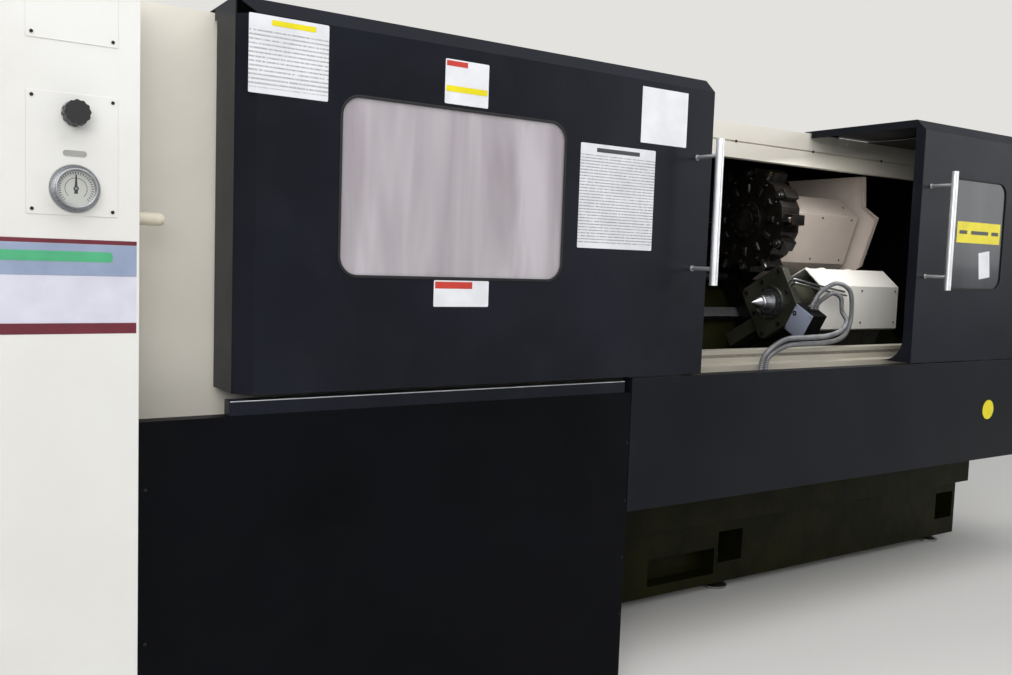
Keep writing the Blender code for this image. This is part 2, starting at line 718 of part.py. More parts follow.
def make_carriage_rails():
    """Two ground guide rails let into the bed's face."""
    for number, s in enumerate((LOWER_RAIL_S, UPPER_RAIL_S), 1):
        half, waist = RAIL_WIDTH / 2, RAIL_WIDTH / 3
        outline = [(s - half, -RAIL_GROOVE_DEPTH), (s + half, -RAIL_GROOVE_DEPTH), (s + half, RAIL_HEIGHT / 3),
                   (s + waist, RAIL_HEIGHT / 2), (s + half, RAIL_HEIGHT * 2 / 3), (s + half, RAIL_HEIGHT),
                   (s - half, RAIL_HEIGHT), (s - half, RAIL_HEIGHT * 2 / 3), (s - waist, RAIL_HEIGHT / 2),
                   (s - half, RAIL_HEIGHT / 3)]
        bed_prism(f"carriage_rail_{number}", outline, HEADSTOCK_RIGHT + 2 * OVERRUN, BED_RIGHT, "bright_steel")


def make_ball_screw():
    """Ball screw for the carriage, with a collar at each of its bearings."""
    y, z = bed_yz(SCREW_S, SCREW_H)
    start = HEADSTOCK_RIGHT + SCREW_BLOCK + GAP
    end = BED_RIGHT - SCREW_BLOCK - GAP
    collar = SCREW_RADIUS * SCREW_COLLAR_SHARE
    profile = [(0.0, 0.0), (collar, 0.0), (collar, OVERRUN), (SCREW_RADIUS, OVERRUN),
               (SCREW_RADIUS, end - start - OVERRUN), (collar, end - start - OVERRUN), (collar, end - start),
               (0.0, end - start)]
    screw = turned("z_ballscrew", profile, (0.0, 0.0, 0.0), X_WAY, "bright_steel", SMALL_SIDES)
    screw.location = (start, y, z)
    return screw


def make_headstock():
    """Headstock casting on the bed with the spindle's bore through it."""
    half, top, cut = HEADSTOCK_HALF, HEADSTOCK_HEIGHT, HEADSTOCK_CHAMFER
    outline = [(-half, GAP), (half, GAP), (half, top - cut), (half - cut, top), (-half + cut, top),
               (-half, top - cut)]
    headstock = bed_prism("headstock", outline, BED_LEFT, HEADSTOCK_RIGHT, "cast_dark")
    bore = rod("headstock_bore", (BED_LEFT - OVERRUN, AXIS_Y, AXIS_Z),
               (HEADSTOCK_RIGHT + OVERRUN, AXIS_Y, AXIS_Z), SPINDLE_RADIUS + GAP, "cast_dark", FINE_SIDES)
    return carve(headstock, bore)


def make_spindle():
    """Hollow spindle with its nose flange and the grooved belt pulley on its tail."""
    left = BED_LEFT - SPINDLE_TAIL
    nose = HEADSTOCK_RIGHT + CHUCK_GAP
    pulley_right = BED_LEFT - PULLEY_GAP
    pulley_left = pulley_right - PULLEY_WIDTH
    rim = PULLEY_RADIUS + PULLEY_RIM
    tail = SPINDLE_RADIUS * 2 / 3
    profile = [(SPINDLE_BORE, left), (tail, left), (tail, pulley_left - PULLEY_RIM),
               (rim, pulley_left - PULLEY_RIM), (rim, pulley_left), (PULLEY_RADIUS, pulley_left),
               (PULLEY_RADIUS, pulley_right), (rim, pulley_right), (rim, pulley_right + PULLEY_RIM),
               (SPINDLE_RADIUS, pulley_right + PULLEY_RIM), (SPINDLE_RADIUS, nose),
               (SPINDLE_FLANGE_RADIUS, nose), (SPINDLE_FLANGE_RADIUS, nose + SPINDLE_FLANGE),
               (SPINDLE_BORE, nose + SPINDLE_FLANGE)]
    return turned("spindle", profile, (0.0, AXIS_Y, AXIS_Z), X_WAY, "bright_steel", FINE_SIDES, closed=True)


def jaw_way(number):
    """Radial direction of one jaw."""
    angle = math.tau * number / JAW_COUNT + math.pi / 2
    return Vector((0.0, math.cos(angle), math.sin(angle)))


def radial_box(name, way, inner, outer, half_width, x0, x1, finish):
    """Box along a radius of the spindle between two distances from its axis."""
    across = X_WAY.cross(way)
    middle = Vector((0.0, AXIS_Y, AXIS_Z))
    outline = []
    for along, over in ((inner, -half_width), (outer, -half_width), (outer, half_width), (inner, half_width)):
        place = middle + way * along + across * over
        outline.append((place.y, place.z))
    return prism(name, outline, x0, x1, "X", finish)


def make_chuck():
    """Three-jaw chuck: a bored body with radial key slots, and three stepped jaws."""
    left, right = CHUCK_LEFT + GAP, CHUCK_LEFT + CHUCK_WIDTH
    rim = CHUCK_RADIUS - CHUCK_CHAMFER
    profile = [(SPINDLE_BORE, left), (rim, left), (CHUCK_RADIUS, left + CHUCK_CHAMFER),
               (CHUCK_RADIUS, right - CHUCK_CHAMFER), (rim, right), (SPINDLE_BORE, right)]
    middle = (0.0, AXIS_Y, AXIS_Z)
    body = turned("chuck_body", profile, middle, X_WAY, "bright_steel", FINE_SIDES, closed=True)
    pieces = [body]
    for number in range(JAW_COUNT):
        way = jaw_way(number)
        slot = radial_box(f"jaw_slot_{number + 1}", way, 0.0, CHUCK_RADIUS + OVERRUN, JAW_KEY / 2 + SIDE_GAP,
                          right - JAW_KEY_DEPTH - GAP, right + OVERRUN, "bright_steel")
        carve(body, slot)
        inner, outer, half = JAW_INNER, JAW_INNER + JAW_LENGTH, JAW_WIDTH / 2
        jaw = radial_box(f"chuck_jaw_{number + 1}", way, inner, outer, half, right + GAP, right + JAW_BASE,
                         "bright_steel")
        key = radial_box(f"jaw_key_{number + 1}", way, inner + SIDE_GAP, outer - SIDE_GAP, JAW_KEY / 2,
                         right - JAW_KEY_DEPTH, right + JAW_BASE / 2, "bright_steel")
        grip = radial_box(f"jaw_grip_{number + 1}", way, inner + SIDE_GAP, inner + JAW_LENGTH / 2,
                          half - SIDE_GAP, right + JAW_BASE / 2, right + JAW_BASE + JAW_STEP, "bright_steel")
        weld(jaw, key, grip)
        pieces.append(jaw)
    return pieces


def make_motor():
    """Finned main motor on its foot, and the pulley on its shaft."""
    pulley_right = BED_LEFT - PULLEY_GAP
    pulley_left = pulley_right - PULLEY_WIDTH
    face = pulley_left - PULLEY_RIM - OVERRUN
    outline = []
    for fin in range(MOTOR_FINS):
        for share, depth in ((0.0, 0.0), (0.5, 0.0), (0.5, MOTOR_FIN_DEPTH), (1.0, MOTOR_FIN_DEPTH)):
            angle = math.tau * (fin + share) / MOTOR_FINS
            radius = MOTOR_RADIUS - depth
            outline.append((MOTOR_Y + radius * math.cos(angle), MOTOR_Z + radius * math.sin(angle)))
    motor = prism("main_motor", outline, face - MOTOR_LENGTH, face, "X", "grey")
    foot = prism("motor_foot", rectangle(MOTOR_Y - MOTOR_FOOT_WIDTH / 2, BASE_TOP + GAP,
                                         MOTOR_Y + MOTOR_FOOT_WIDTH / 2, MOTOR_Z - MOTOR_RADIUS / 2),
                 face - MOTOR_LENGTH * 3 / 4, face - MOTOR_LENGTH / 4, "X", "grey")
    shaft = rod("motor_shaft", (face - OVERRUN, MOTOR_Y, MOTOR_Z), (pulley_right, MOTOR_Y, MOTOR_Z),
                MOTOR_SHAFT_RADIUS, "grey")
    weld(motor, foot, shaft)
    rim = MOTOR_PULLEY_RADIUS + PULLEY_RIM
    bore = MOTOR_SHAFT_RADIUS + GAP
    profile = [(bore, pulley_left - PULLEY_RIM), (rim, pulley_left - PULLEY_RIM), (rim, pulley_left),
               (MOTOR_PULLEY_RADIUS, pulley_left), (MOTOR_PULLEY_RADIUS, pulley_right), (rim, pulley_right),
               (rim, pulley_right + PULLEY_RIM), (bore, pulley_right + PULLEY_RIM)]
    pulley = turned("motor_pulley", profile, (0.0, MOTOR_Y, MOTOR_Z), X_WAY, "black_steel", ROUND_SIDES,
                    closed=True)
    return motor, pulley


def belt_loop(extra):
    """Outline of the belt's path whose flats keep a distance off both pulleys, as (y, z) points."""
    first, second = Vector((AXIS_Y, AXIS_Z)), Vector((MOTOR_Y, MOTOR_Z))
    apart = second - first
    lean = math.acos((PULLEY_RADIUS - MOTOR_PULLEY_RADIUS) / apart.length)
    big = (PULLEY_RADIUS + extra) / math.cos((math.pi - lean) / BELT_ARC_STEPS)
    small = (MOTOR_PULLEY_RADIUS + extra) / math.cos(lean / BELT_ARC_STEPS)
    base = math.atan2(apart.y, apart.x)
    points = []
    for i in range(BELT_ARC_STEPS + 1):
        angle = base + lean + (math.tau - 2 * lean) * i / BELT_ARC_STEPS
        points.append((first.x + big * math.cos(angle), first.y + big * math.sin(angle)))
    for i in range(BELT_ARC_STEPS + 1):
        angle = base - lean + 2 * lean * i / BELT_ARC_STEPS
        points.append((second.x + small * math.cos(angle), second.y + small * math.sin(angle)))
    return points


def make_belt():
    """Flat ribbed belt round both pulleys, with a hair of clearance."""
    right = BED_LEFT - PULLEY_GAP - BELT_INSET
    left = right - PULLEY_WIDTH + 2 * BELT_INSET
    return shell("drive_belt", belt_loop(BELT_THICKNESS), left, right, "X", "rubber",
                 belt_loop(GAP), left - OVERRUN, right + OVERRUN)


def make_left_cabinet():
    """Tall sheet cabinet at the left end, stepped over the base, open at its back and its foot."""
    back = HEADER_BACK
    knee = BASE_Y - BASE_LIP - CABINET_KNEE_GAP
    shelf = BASE_TOP + CABINET_KNEE_GAP
    outline = [(FACE_Y, CABINET_BOTTOM), (knee, CABINET_BOTTOM), (knee, shelf), (back, shelf),
               (back, GUARD_TOP), (FACE_Y, GUARD_TOP)]
    wall = SHEET
    inner = [(FACE_Y + wall, CABINET_BOTTOM - OVERRUN), (knee - wall, CABINET_BOTTOM - OVERRUN),
             (knee - wall, shelf + wall), (back + OVERRUN, shelf + wall), (back + OVERRUN, GUARD_TOP - wall),
             (FACE_Y + wall, GUARD_TOP - wall)]
    return shell("left_cabinet", outline, LEFT, CABINET_RIGHT, "X", "white", inner, LEFT + wall,
                 CABINET_RIGHT - wall)


def make_gauge():
    """Pressure gauge: flanged body, recessed dial with a pin, and the needle on the pin."""
    x = CABINET_RIGHT - GAUGE_OFFSET
    z = SILL_Z + GAUGE_ABOVE_SILL
    face = FACE_Y - GAP
    front = GAUGE_DEPTH
    rim = GAUGE_BODY_RADIUS - GAUGE_RIM
    dial = front - GAUGE_DIAL_DEPTH
    pin_top = dial + 2 * NEEDLE_THICKNESS
    profile = [(0.0, 0.0), (GAUGE_FLANGE_RADIUS, 0.0), (GAUGE_FLANGE_RADIUS, GAUGE_RIM),
               (GAUGE_BODY_RADIUS, GAUGE_RIM), (GAUGE_BODY_RADIUS, front), (rim, front), (rim, dial),
               (GAUGE_PIN_RADIUS, dial), (GAUGE_PIN_RADIUS, pin_top), (0.0, pin_top)]
    turned("pressure_gauge", profile, (x, face, z), -Y_WAY, "bright_steel", ROUND_SIDES)
    y0 = face - dial - GAP
    needle = prism("gauge_needle", [(-NEEDLE_WIDTH, -NEEDLE_TAIL), (NEEDLE_WIDTH, -NEEDLE_TAIL),
                                    (NEEDLE_WIDTH / 3, NEEDLE_LENGTH), (-NEEDLE_WIDTH / 3, NEEDLE_LENGTH)],
                   y0 - NEEDLE_THICKNESS, y0, "Y", "black_plastic")
    hub = rod("needle_hub", (0.0, y0 - NEEDLE_THICKNESS, 0.0), (0.0, y0, 0.0), NEEDLE_HUB_RADIUS,
              "black_plastic")
    hole = rod("needle_hole", (0.0, y0 - OVERRUN, 0.0), (0.0, y0 + OVERRUN, 0.0), GAUGE_PIN_RADIUS + GAP,
               "black_plastic")
    weld(needle, hub)
    carve(needle, hole)
    for obj in (needle, hub, hole):
        obj.location = (x, 0.0, z)
    return needle


def fluted_knob(name, centre, radius, depth, finish, flutes=KNOB_FLUTES):
    """Knob on a face that looks to -Y, with shallow flutes round it."""
    x, y, z = centre
    outline = []
    for i in range(flutes * 4):
        angle = math.tau * i / (flutes * 4)
        here = radius * (1.0 if i % 4 < 2 else FLUTE_SHARE)
        outline.append((x + here * math.cos(angle), z + here * math.sin(angle)))
    return pivot(prism(name, outline, y - depth, y, "Y", finish), centre)


def make_buffer():
    """Round rubber buffer that stops the left door at the cabinet."""
    y = FACE_Y + BUFFER_INSET
    start = (CABINET_RIGHT + GAP, y, SILL_Z + BUFFER_ABOVE_SILL)
    nose = BUFFER_RADIUS * BUFFER_NOSE_SHARE
    profile = [(0.0, 0.0), (BUFFER_RADIUS, 0.0), (BUFFER_RADIUS, BUFFER_LENGTH - BUFFER_RADIUS / 2),
               (nose, BUFFER_LENGTH), (0.0, BUFFER_LENGTH)]
    return turned("door_buffer", profile, start, X_WAY, "cream", SMALL_SIDES)


def folded_panel(name, x0, x1, z0, z1, depth, finish):
    """Front cover with all four edges folded back."""
    outline = rectangle(x0, z0, x1, z1)
    inner = rectangle(x0 + SHEET, z0 + SHEET, x1 - SHEET, z1 - SHEET)
    back = FACE_Y + depth
    return shell(name, outline, FACE_Y, back, "Y", finish, inner, FACE_Y + SHEET, back + OVERRUN)


def make_lower_covers():
    """Floor panel, the strip that guides the left door, and the apron under the opening."""
    folded_panel("lower_left_panel", CABINET_RIGHT + GAP, APRON_LEFT - APRON_GAP, CABINET_BOTTOM,
                 LOWER_PANEL_TOP, COVER_RETURN, "dark_panel")
    strip_bottom = LOWER_PANEL_TOP + GAP
    block("door_guide_strip", (CABINET_RIGHT + GUIDE_STRIP_START, FACE_Y + SHEET, strip_bottom),
          (APRON_LEFT - GUIDE_STRIP_END_INSET, FACE_Y + GUIDE_STRIP_DEPTH, strip_bottom + GUIDE_STRIP_HEIGHT),
          "charcoal")
    folded_panel("apron_panel", APRON_LEFT, RIGHT, SILL_Z - APRON_HEIGHT, SILL_Z, COVER_RETURN, "charcoal")


def make_guards():
    """Recessed fixed guards behind the doors: front, roof and, at the headstock, an inner wall."""
    roof_back = HEADER_Y - GAP
    front = folded_outline([(GUARD_Y, GUARD_BOTTOM), (GUARD_Y, GUARD_TOP), (roof_back, GUARD_TOP)], -SHEET)
    left_start = CABINET_RIGHT + GAP
    left_end = HEADSTOCK_RIGHT + GUARD_PAST_HEADSTOCK
    guard = prism("headstock_guard", front, left_start, left_end, "X", "cream")
    wall_front, wall_back = GUARD_Y + SHEET / 2, GUARD_Y + GUARD_WALL_REACH
    wall_top, under_header = GUARD_TOP - SHEET / 2, HEADER_BOTTOM - SHEET
    wall_outline = [(wall_front, GUARD_BOTTOM), (wall_back, GUARD_BOTTOM), (wall_back, under_header),
                    (roof_back, under_header), (roof_back, wall_top), (wall_front, wall_top)]
    wall = prism("guard_wall", wall_outline, left_end - 2 * SHEET, left_end - SHEET, "X", "cream")
    hole = rod("guard_wall_hole", (left_end - OVERRUN, AXIS_Y, AXIS_Z), (left_end + OVERRUN, AXIS_Y, AXIS_Z),
               GUARD_WALL_HOLE_RADIUS, "cream", FINE_SIDES)
    weld(guard, wall)
    carve(guard, hole)
    bottom = TRAY_LIP_Z + SHEET + 2 * GAP
    short = folded_outline([(GUARD_Y, bottom), (GUARD_Y, GUARD_TOP), (roof_back, GUARD_TOP)], -SHEET)
    right = prism("right_guard", short, RIGHT - RIGHT_GUARD_WIDTH, RIGHT, "X", "cream")
    end_wall = prism("right_end_wall", rectangle(wall_front, bottom, roof_back, wall_top), RIGHT - SHEET, RIGHT,
                     "X", "cream")
    weld(right, end_wall)
    return guard, right


def make_header():
    """Beam over the opening: a rail band below, a dark slot, and the fascia above."""
    slot_low = HEADER_BOTTOM + (GUARD_TOP - HEADER_BOTTOM) * RAIL_BAND_SHARE
    slot_high = slot_low + SLOT_HEIGHT
    outline = [(HEADER_Y, HEADER_BOTTOM), (HEADER_Y, slot_low), (HEADER_Y + SLOT_DEPTH, slot_low),
               (HEADER_Y + SLOT_DEPTH, slot_high), (HEADER_Y, slot_high), (HEADER_Y, GUARD_TOP),
               (HEADER_BACK, GUARD_TOP), (HEADER_BACK, HEADER_BOTTOM)]
    return prism("header_beam", outline, CABINET_RIGHT + GAP, RIGHT, "X", "cream")


def make_rear_enclosure():
    """Back wall, roof and end walls round the bed, open at the front and below."""
    front = HEADER_BACK + GAP
    inner_back = BASE_BACK + GAP
    back = inner_back + SHEET
    bottom = BASE_TOP - ENCLOSURE_LAP
    outline = rectangle(front, bottom, back, GUARD_TOP)
    inner = rectangle(front - OVERRUN, bottom - OVERRUN, inner_back, GUARD_TOP - SHEET)
    return shell("rear_enclosure", outline, LEFT, RIGHT, "X", "cream", inner, LEFT + SHEET, RIGHT - SHEET)


def make_electrical_cabinet():
    """Switchgear cabinet on the back wall with a hinged door."""
    front = BASE_BACK + 2 * GAP + SHEET
    back = DEPTH / 2
    right = RIGHT - ELECTRICAL_RIGHT_INSET
    left = right - ELECTRICAL_WIDTH
    door_face = back - SHEET
    outline = rectangle(left, ELECTRICAL_BOTTOM, right, ELECTRICAL_TOP)
    inner = rectangle(left + ELECTRICAL_WALL, ELECTRICAL_BOTTOM + ELECTRICAL_WALL, right - ELECTRICAL_WALL,
                      ELECTRICAL_TOP - ELECTRICAL_WALL)
    shell("electrical_cabinet", outline, front, door_face - GAP, "Y", "cream", inner, front + SHEET,
          door_face + OVERRUN)
    door = prism("electrical_cabinet_door", outline, door_face, back, "Y", "cream")
    return pivot(door, (left, door_face, ELECTRICAL_BOTTOM))


def door_outline(bevelled_back):
    """(y, z) section of a door, front and roof, filled."""
    top = HEIGHT
    return [(FACE_Y, DOOR_BOTTOM), (FACE_Y, top - DOOR_BEVEL), (FACE_Y + DOOR_BEVEL, top),
            (bevelled_back, top), (bevelled_back, DOOR_BOTTOM)]


def side_opening(depth, flange_back, gusset):
    """(y, z) outline of what is open behind a door's side return, under its roof flange."""
    top = HEIGHT - SHEET
    back = FACE_Y + DOOR_ROOF_DEPTH + OVERRUN
    flange_end = flange_back - OVERRUN
    front = FACE_Y + depth
    points = [(front, top - DOOR_ROOF_FLANGE)]
    if gusset:
        for i in range(GUSSET_STEPS + 1):
            angle = math.radians(90 * i / GUSSET_STEPS)
            inward, upward = 1 - math.cos(angle), 1 - math.sin(angle)
            points.append((front + gusset * inward, DOOR_BOTTOM + gusset * upward))
        points.append((front + gusset, DOOR_BOTTOM - OVERRUN))
    else:
        points.append((front, DOOR_BOTTOM - OVERRUN))
    points += [(back, DOOR_BOTTOM - OVERRUN), (back, top), (flange_end, top),
               (flange_end, top - DOOR_ROOF_FLANGE)]
    return points


def make_door(side, x0, x1, window, handle_x, left_bevel, outer_return):
    """Sliding door: folded front and roof, side returns with a curved foot, window and handle."""
    back = FACE_Y + DOOR_ROOF_DEPTH
    door = prism(f"{side}_door", door_outline(back), x0, x1, "X", "charcoal")
    inner_bevel = DOOR_BEVEL - SHEET * math.tan(math.radians(22.5))
    top = HEIGHT - SHEET
    inner_outline = [(FACE_Y + SHEET, DOOR_BOTTOM - OVERRUN), (FACE_Y + SHEET, top - inner_bevel + SHEET / 2),
                     (FACE_Y + inner_bevel + SHEET / 2, top), (back + OVERRUN, top),
                     (back + OVERRUN, DOOR_BOTTOM - OVERRUN)]
    hollow = prism(f"{side}_door_hollow", inner_outline, x0 + SHEET, x1 - SHEET, "X", "charcoal")
    outer = side_opening(outer_return, GUARD_Y, 0.0)
    inner = side_opening(DOOR_RETURN, HEADER_Y, DOOR_GUSSET)
    left_opening, right_opening = (outer, inner) if left_bevel else (inner, outer)
    carve(door, hollow,
          prism(f"{side}_door_left_opening", left_opening, x0 - OVERRUN, x0 + 2 * OVERRUN, "X", "charcoal"),
          prism(f"{side}_door_right_opening", right_opening, x1 - 2 * OVERRUN, x1 + OVERRUN, "X", "charcoal"))
    if left_bevel:
        corner = [(x0 - OVERRUN, FACE_Y - OVERRUN), (x0 + DOOR_BEVEL, FACE_Y - OVERRUN),
                  (x0 + DOOR_BEVEL, FACE_Y), (x0, FACE_Y + DOOR_BEVEL), (x0 - OVERRUN, FACE_Y + DOOR_BEVEL)]
        near, far = SHEET / 2, DOOR_BEVEL + 2 * SHEET
        backing = [(x0 + near, FACE_Y + DOOR_BEVEL), (x0 + DOOR_BEVEL, FACE_Y + near),
                   (x0 + far, FACE_Y + near), (x0 + near, FACE_Y + far)]
        fold = prism(f"{side}_door_bevel_fold", backing, DOOR_BOTTOM, HEIGHT - DOOR_BEVEL, "Z", "charcoal")
        cut = prism(f"{side}_door_bevel_cut", corner, DOOR_BOTTOM - OVERRUN, HEIGHT + OVERRUN, "Z", "charcoal")
        weld(door, fold)
        carve(door, cut)
    offset, rise, width, height = window
    wx0, wz0 = x0 + offset, SILL_Z + rise
    wx1, wz1 = wx0 + width, wz0 + height
    hole = prism(f"{side}_window_hole",
                 rounded_rectangle(wx0, wz0, wx1, wz1, WINDOW_RADIUS, WINDOW_CORNER_STEPS),
                 FACE_Y - OVERRUN, FACE_Y + 2 * OVERRUN, "Y", "charcoal")
    carve(door, hole)
    runner_y = HEADER_Y + RUNNER_WIDTH / 4
    for number, rx in enumerate((x0 + RUNNER_INSET, x1 - RUNNER_INSET - RUNNER_LENGTH), 1):
        runner = block(f"{side}_door_runner_{number}", (rx, runner_y, GUARD_TOP + GAP),
                       (rx + RUNNER_LENGTH, runner_y + RUNNER_WIDTH, HEIGHT - SHEET / 2), "charcoal")
        weld(door, runner)
    pane_face = FACE_Y + SHEET + GAP
    pane = prism(f"{side}_door_window",
                 rounded_rectangle(wx0 - PANE_MARGIN, wz0 - PANE_MARGIN, wx1 + PANE_MARGIN, wz1 + PANE_MARGIN,
                                   WINDOW_RADIUS + PANE_MARGIN, WINDOW_CORNER_STEPS),
                 pane_face, pane_face + PANE_THICKNESS, "Y", "glass")
    handle = make_handle(f"{side}_door_handle", handle_x)
    middle = ((x0 + x1) / 2, FACE_Y, HANDLE_Z)
    carrier(f"{side}_door_carrier", middle, [door, pane, handle])
    return door


def make_handle(name, x):
    """Round bar held off the door by two posts."""
    bar_y = FACE_Y - HANDLE_REACH + HANDLE_BAR_RADIUS
    low = HANDLE_Z - HANDLE_LENGTH / 2
    bar = rod(name, (x, bar_y, low), (x, bar_y, low + HANDLE_LENGTH), HANDLE_BAR_RADIUS, "bright_steel")
    for number, side in enumerate((-1, 1), 1):
        z = HANDLE_Z + side * HANDLE_POST_SPACING / 2
        post = rod(f"{name}_post_{number}", (x, bar_y, z), (x, FACE_Y - GAP, z), HANDLE_POST_RADIUS,
                   "bright_steel")
        weld(bar, post)
    return bar


def make_chip_tray():
    """Stepped front lip, cable gutter and the slope that sheds chips on to the base."""
    front = FACE_Y + TRAY_FRONT
    insets = (TRAY_STEP, TRAY_LIP, TRAY_CREST, TRAY_SLOPE_INSET)
    step, lip, crest, slope = (FACE_Y + inset for inset in insets)
    path = [(front, SILL_Z - 4 * SHEET), (front, GUTTER_Z), (step, GUTTER_Z), (step, DOOR_BOTTOM),
            (lip, DOOR_BOTTOM), (lip, TRAY_LIP_Z), (crest, TRAY_LIP_Z), (slope, SILL_Z - TRAY_SLOPE_DROP),
            (BASE_Y - TRAY_TOE, BASE_TOP + GAP)]
    tray = prism("chip_tray", folded_outline(path, SHEET), LEFT + TRAY_START, RIGHT - TRAY_END_INSET, "X",
                 "cream")
    gutter_path = path[:3] + [(step, SILL_Z - 4 * SHEET)]
    gutter = prism("gutter_run_out", folded_outline(gutter_path, SHEET), LEFT + GUTTER_START,
                   LEFT + TRAY_START + OVERRUN, "X", "cream")
    return weld(tray, gutter)


def make_carriage():
    """Saddle on the rails with the cross slide's tongue, and the slide plate on it."""
    half = RAIL_WIDTH / 2 + SIDE_GAP
    rail_outlines = [rectangle(s - half, 0.0, s + half, RAIL_HEIGHT + GAP)
                     for s in (LOWER_RAIL_S, UPPER_RAIL_S)]
    saddle = bed_prism("carriage_saddle", rectangle(SADDLE_LOW, SADDLE_LIFT, SADDLE_HIGH, SADDLE_TOP),
                       CARRIAGE_LEFT, CARRIAGE_RIGHT, "black_steel")
    for number, outline in enumerate(rail_outlines, 1):
        carve(saddle, bed_prism(f"saddle_groove_{number}", outline, CARRIAGE_LEFT - OVERRUN,
                                CARRIAGE_RIGHT + OVERRUN, "black_steel"))
    y, z = bed_yz(SCREW_S, SCREW_H)
    nut_way = rod("nut_way", (CARRIAGE_LEFT - OVERRUN, y, z), (CARRIAGE_RIGHT + OVERRUN, y, z),
                  SCREW_RADIUS + SIDE_GAP, "black_steel")
    middle = (CARRIAGE_LEFT + CARRIAGE_RIGHT) / 2
    tongue = bed_prism("saddle_tongue", rectangle(SADDLE_LOW, SADDLE_TOP - OVERRUN, SADDLE_HIGH,
                                                  SADDLE_TOP + TONGUE_HEIGHT),
                       middle - TONGUE_WIDTH / 2, middle + TONGUE_WIDTH / 2, "black_steel")
    carve(saddle, nut_way)
    weld(saddle, tongue)
    slide = bed_prism("cross_slide", rectangle(SLIDE_LOW, SADDLE_TOP + GAP, SLIDE_HIGH, SLIDE_TOP),
                      CARRIAGE_LEFT + SLIDE_SIDE_INSET, CARRIAGE_RIGHT - SLIDE_SIDE_INSET, "black_steel")
    groove_half = TONGUE_WIDTH / 2 + SIDE_GAP
    section = rectangle(SLIDE_LOW - OVERRUN, SADDLE_TOP - OVERRUN, SLIDE_HIGH + OVERRUN,
                        SADDLE_TOP + TONGUE_HEIGHT + GAP)
    groove = bed_prism("slide_groove", section, middle - groove_half, middle + groove_half, "black_steel")
    carve(slide, groove)
    return saddle, slide


def make_turret_housing():
    """Indexing unit behind the disc with the round boss that carries it."""
    left = CARRIAGE_LEFT + HOUSING_SIDE_INSET
    right = CARRIAGE_RIGHT - HOUSING_SIDE_INSET
    outline = stretched(HOUSING_SHARES, (HOUSING_LOW_S, SLIDE_TOP + GAP), (HOUSING_LENGTH, HOUSING_HEIGHT))
    housing = bed_prism("turret_housing", outline, left, right, "black_steel")
    y, z = bed_yz(TURRET_S, AXIS_TO_BED)
    boss = rod("turret_boss", (DISC_RIGHT + GAP, y, z), (left + OVERRUN, y, z), HOUSING_BOSS_RADIUS,
               "black_steel", ROUND_SIDES)
    return weld(housing, boss)


def make_turret_disc():
    """Twelve-sided tool disc with a tapered tool holder on each flat, every second one shorter."""
    y, z = bed_yz(TURRET_S, AXIS_TO_BED)
    right = DISC_RIGHT
    left = right - DISC_WIDTH
    half = math.pi / STATIONS
    corner = DISC_RADIUS / math.cos(half)
    outline = [(y + corner * math.cos(2 * half * i + half), z + corner * math.sin(2 * half * i + half))
               for i in range(STATIONS)]
    disc = prism("turret_disc", outline, left, right, "X", "black_steel")
    hub = rod("disc_hub", (left - DISC_HUB_HEIGHT, y, z), (left + OVERRUN, y, z), DISC_HUB_RADIUS,
              "black_steel", ROUND_SIDES)
    weld(disc, hub)
    middle = Vector(((left + right) / 2, y, z))
    for station in range(STATIONS):
        angle = 2 * half * station
        way = Vector((0.0, math.cos(angle), math.sin(angle)))
        across = X_WAY.cross(way)
        reach = DISC_RADIUS + (HOLDER_REACH - DISC_RADIUS) * (SHORT_HOLDER_SHARE if station % 2 else 1.0)
        root, tip = HOLDER_WIDTH / 2, HOLDER_WIDTH / 2 * HOLDER_TIP_SHARE
        points = []
        for along, over in ((DISC_RADIUS - OVERRUN, -root), (reach, -tip), (reach, tip),
                            (DISC_RADIUS - OVERRUN, root)):
            place = middle + way * along + across * over
            points.append((place.y, place.z))
        holder = prism(f"tool_holder_{station + 1}", points, middle.x - HOLDER_LENGTH / 2,
                       middle.x + HOLDER_LENGTH / 2, "X", "black_steel")
        weld(disc, holder)
    return disc


def inset_outline(outline, wall):
    """Outline moved in by a wall on every side but its first and last points' base line."""
    points = [Vector(p) for p in outline]
    inner = []
    for before, here, after in zip(points, points[1:], points[2:]):
        first = Vector((-(here - before).y, (here - before).x)).normalized()
        second = Vector((-(after - here).y, (after - here).x)).normalized()
        inner.append(tuple(here - (first + second) * (wall / (1 + first.dot(second)))))
    start = Vector((-(points[1] - points[0]).y, (points[1] - points[0]).x)).normalized()
    end = Vector((-(points[-1] - points[-2]).y, (points[-1] - points[-2]).x)).normalized()
    drop = (points[0] - points[1]).normalized() * OVERRUN
    rise = (points[-1] - points[-2]).normalized() * OVERRUN
    return [tuple(points[0] - start * wall + drop)] + inner + [tuple(points[-1] - end * wall + rise)]


def make_turret_cover():
    """Folded cover over the turret's drive, open to the slide it is bolted to."""
    start = CARRIAGE_LEFT + SLIDE_SIDE_INSET / 2
    end = CARRIAGE_RIGHT - END_COVER_LIP - SHEET
    outline = stretched(COVER_SHARES, (COVER_LOW_S, SLIDE_TOP + GAP), (COVER_LENGTH, COVER_HEIGHT))
    cover = bed_prism("turret_cover", outline, start, end, "cream")
    hollow = bed_prism("cover_hollow", inset_outline(outline, SHEET), start - OVERRUN, end + OVERRUN, "cream")
    return carve(cover, hollow)


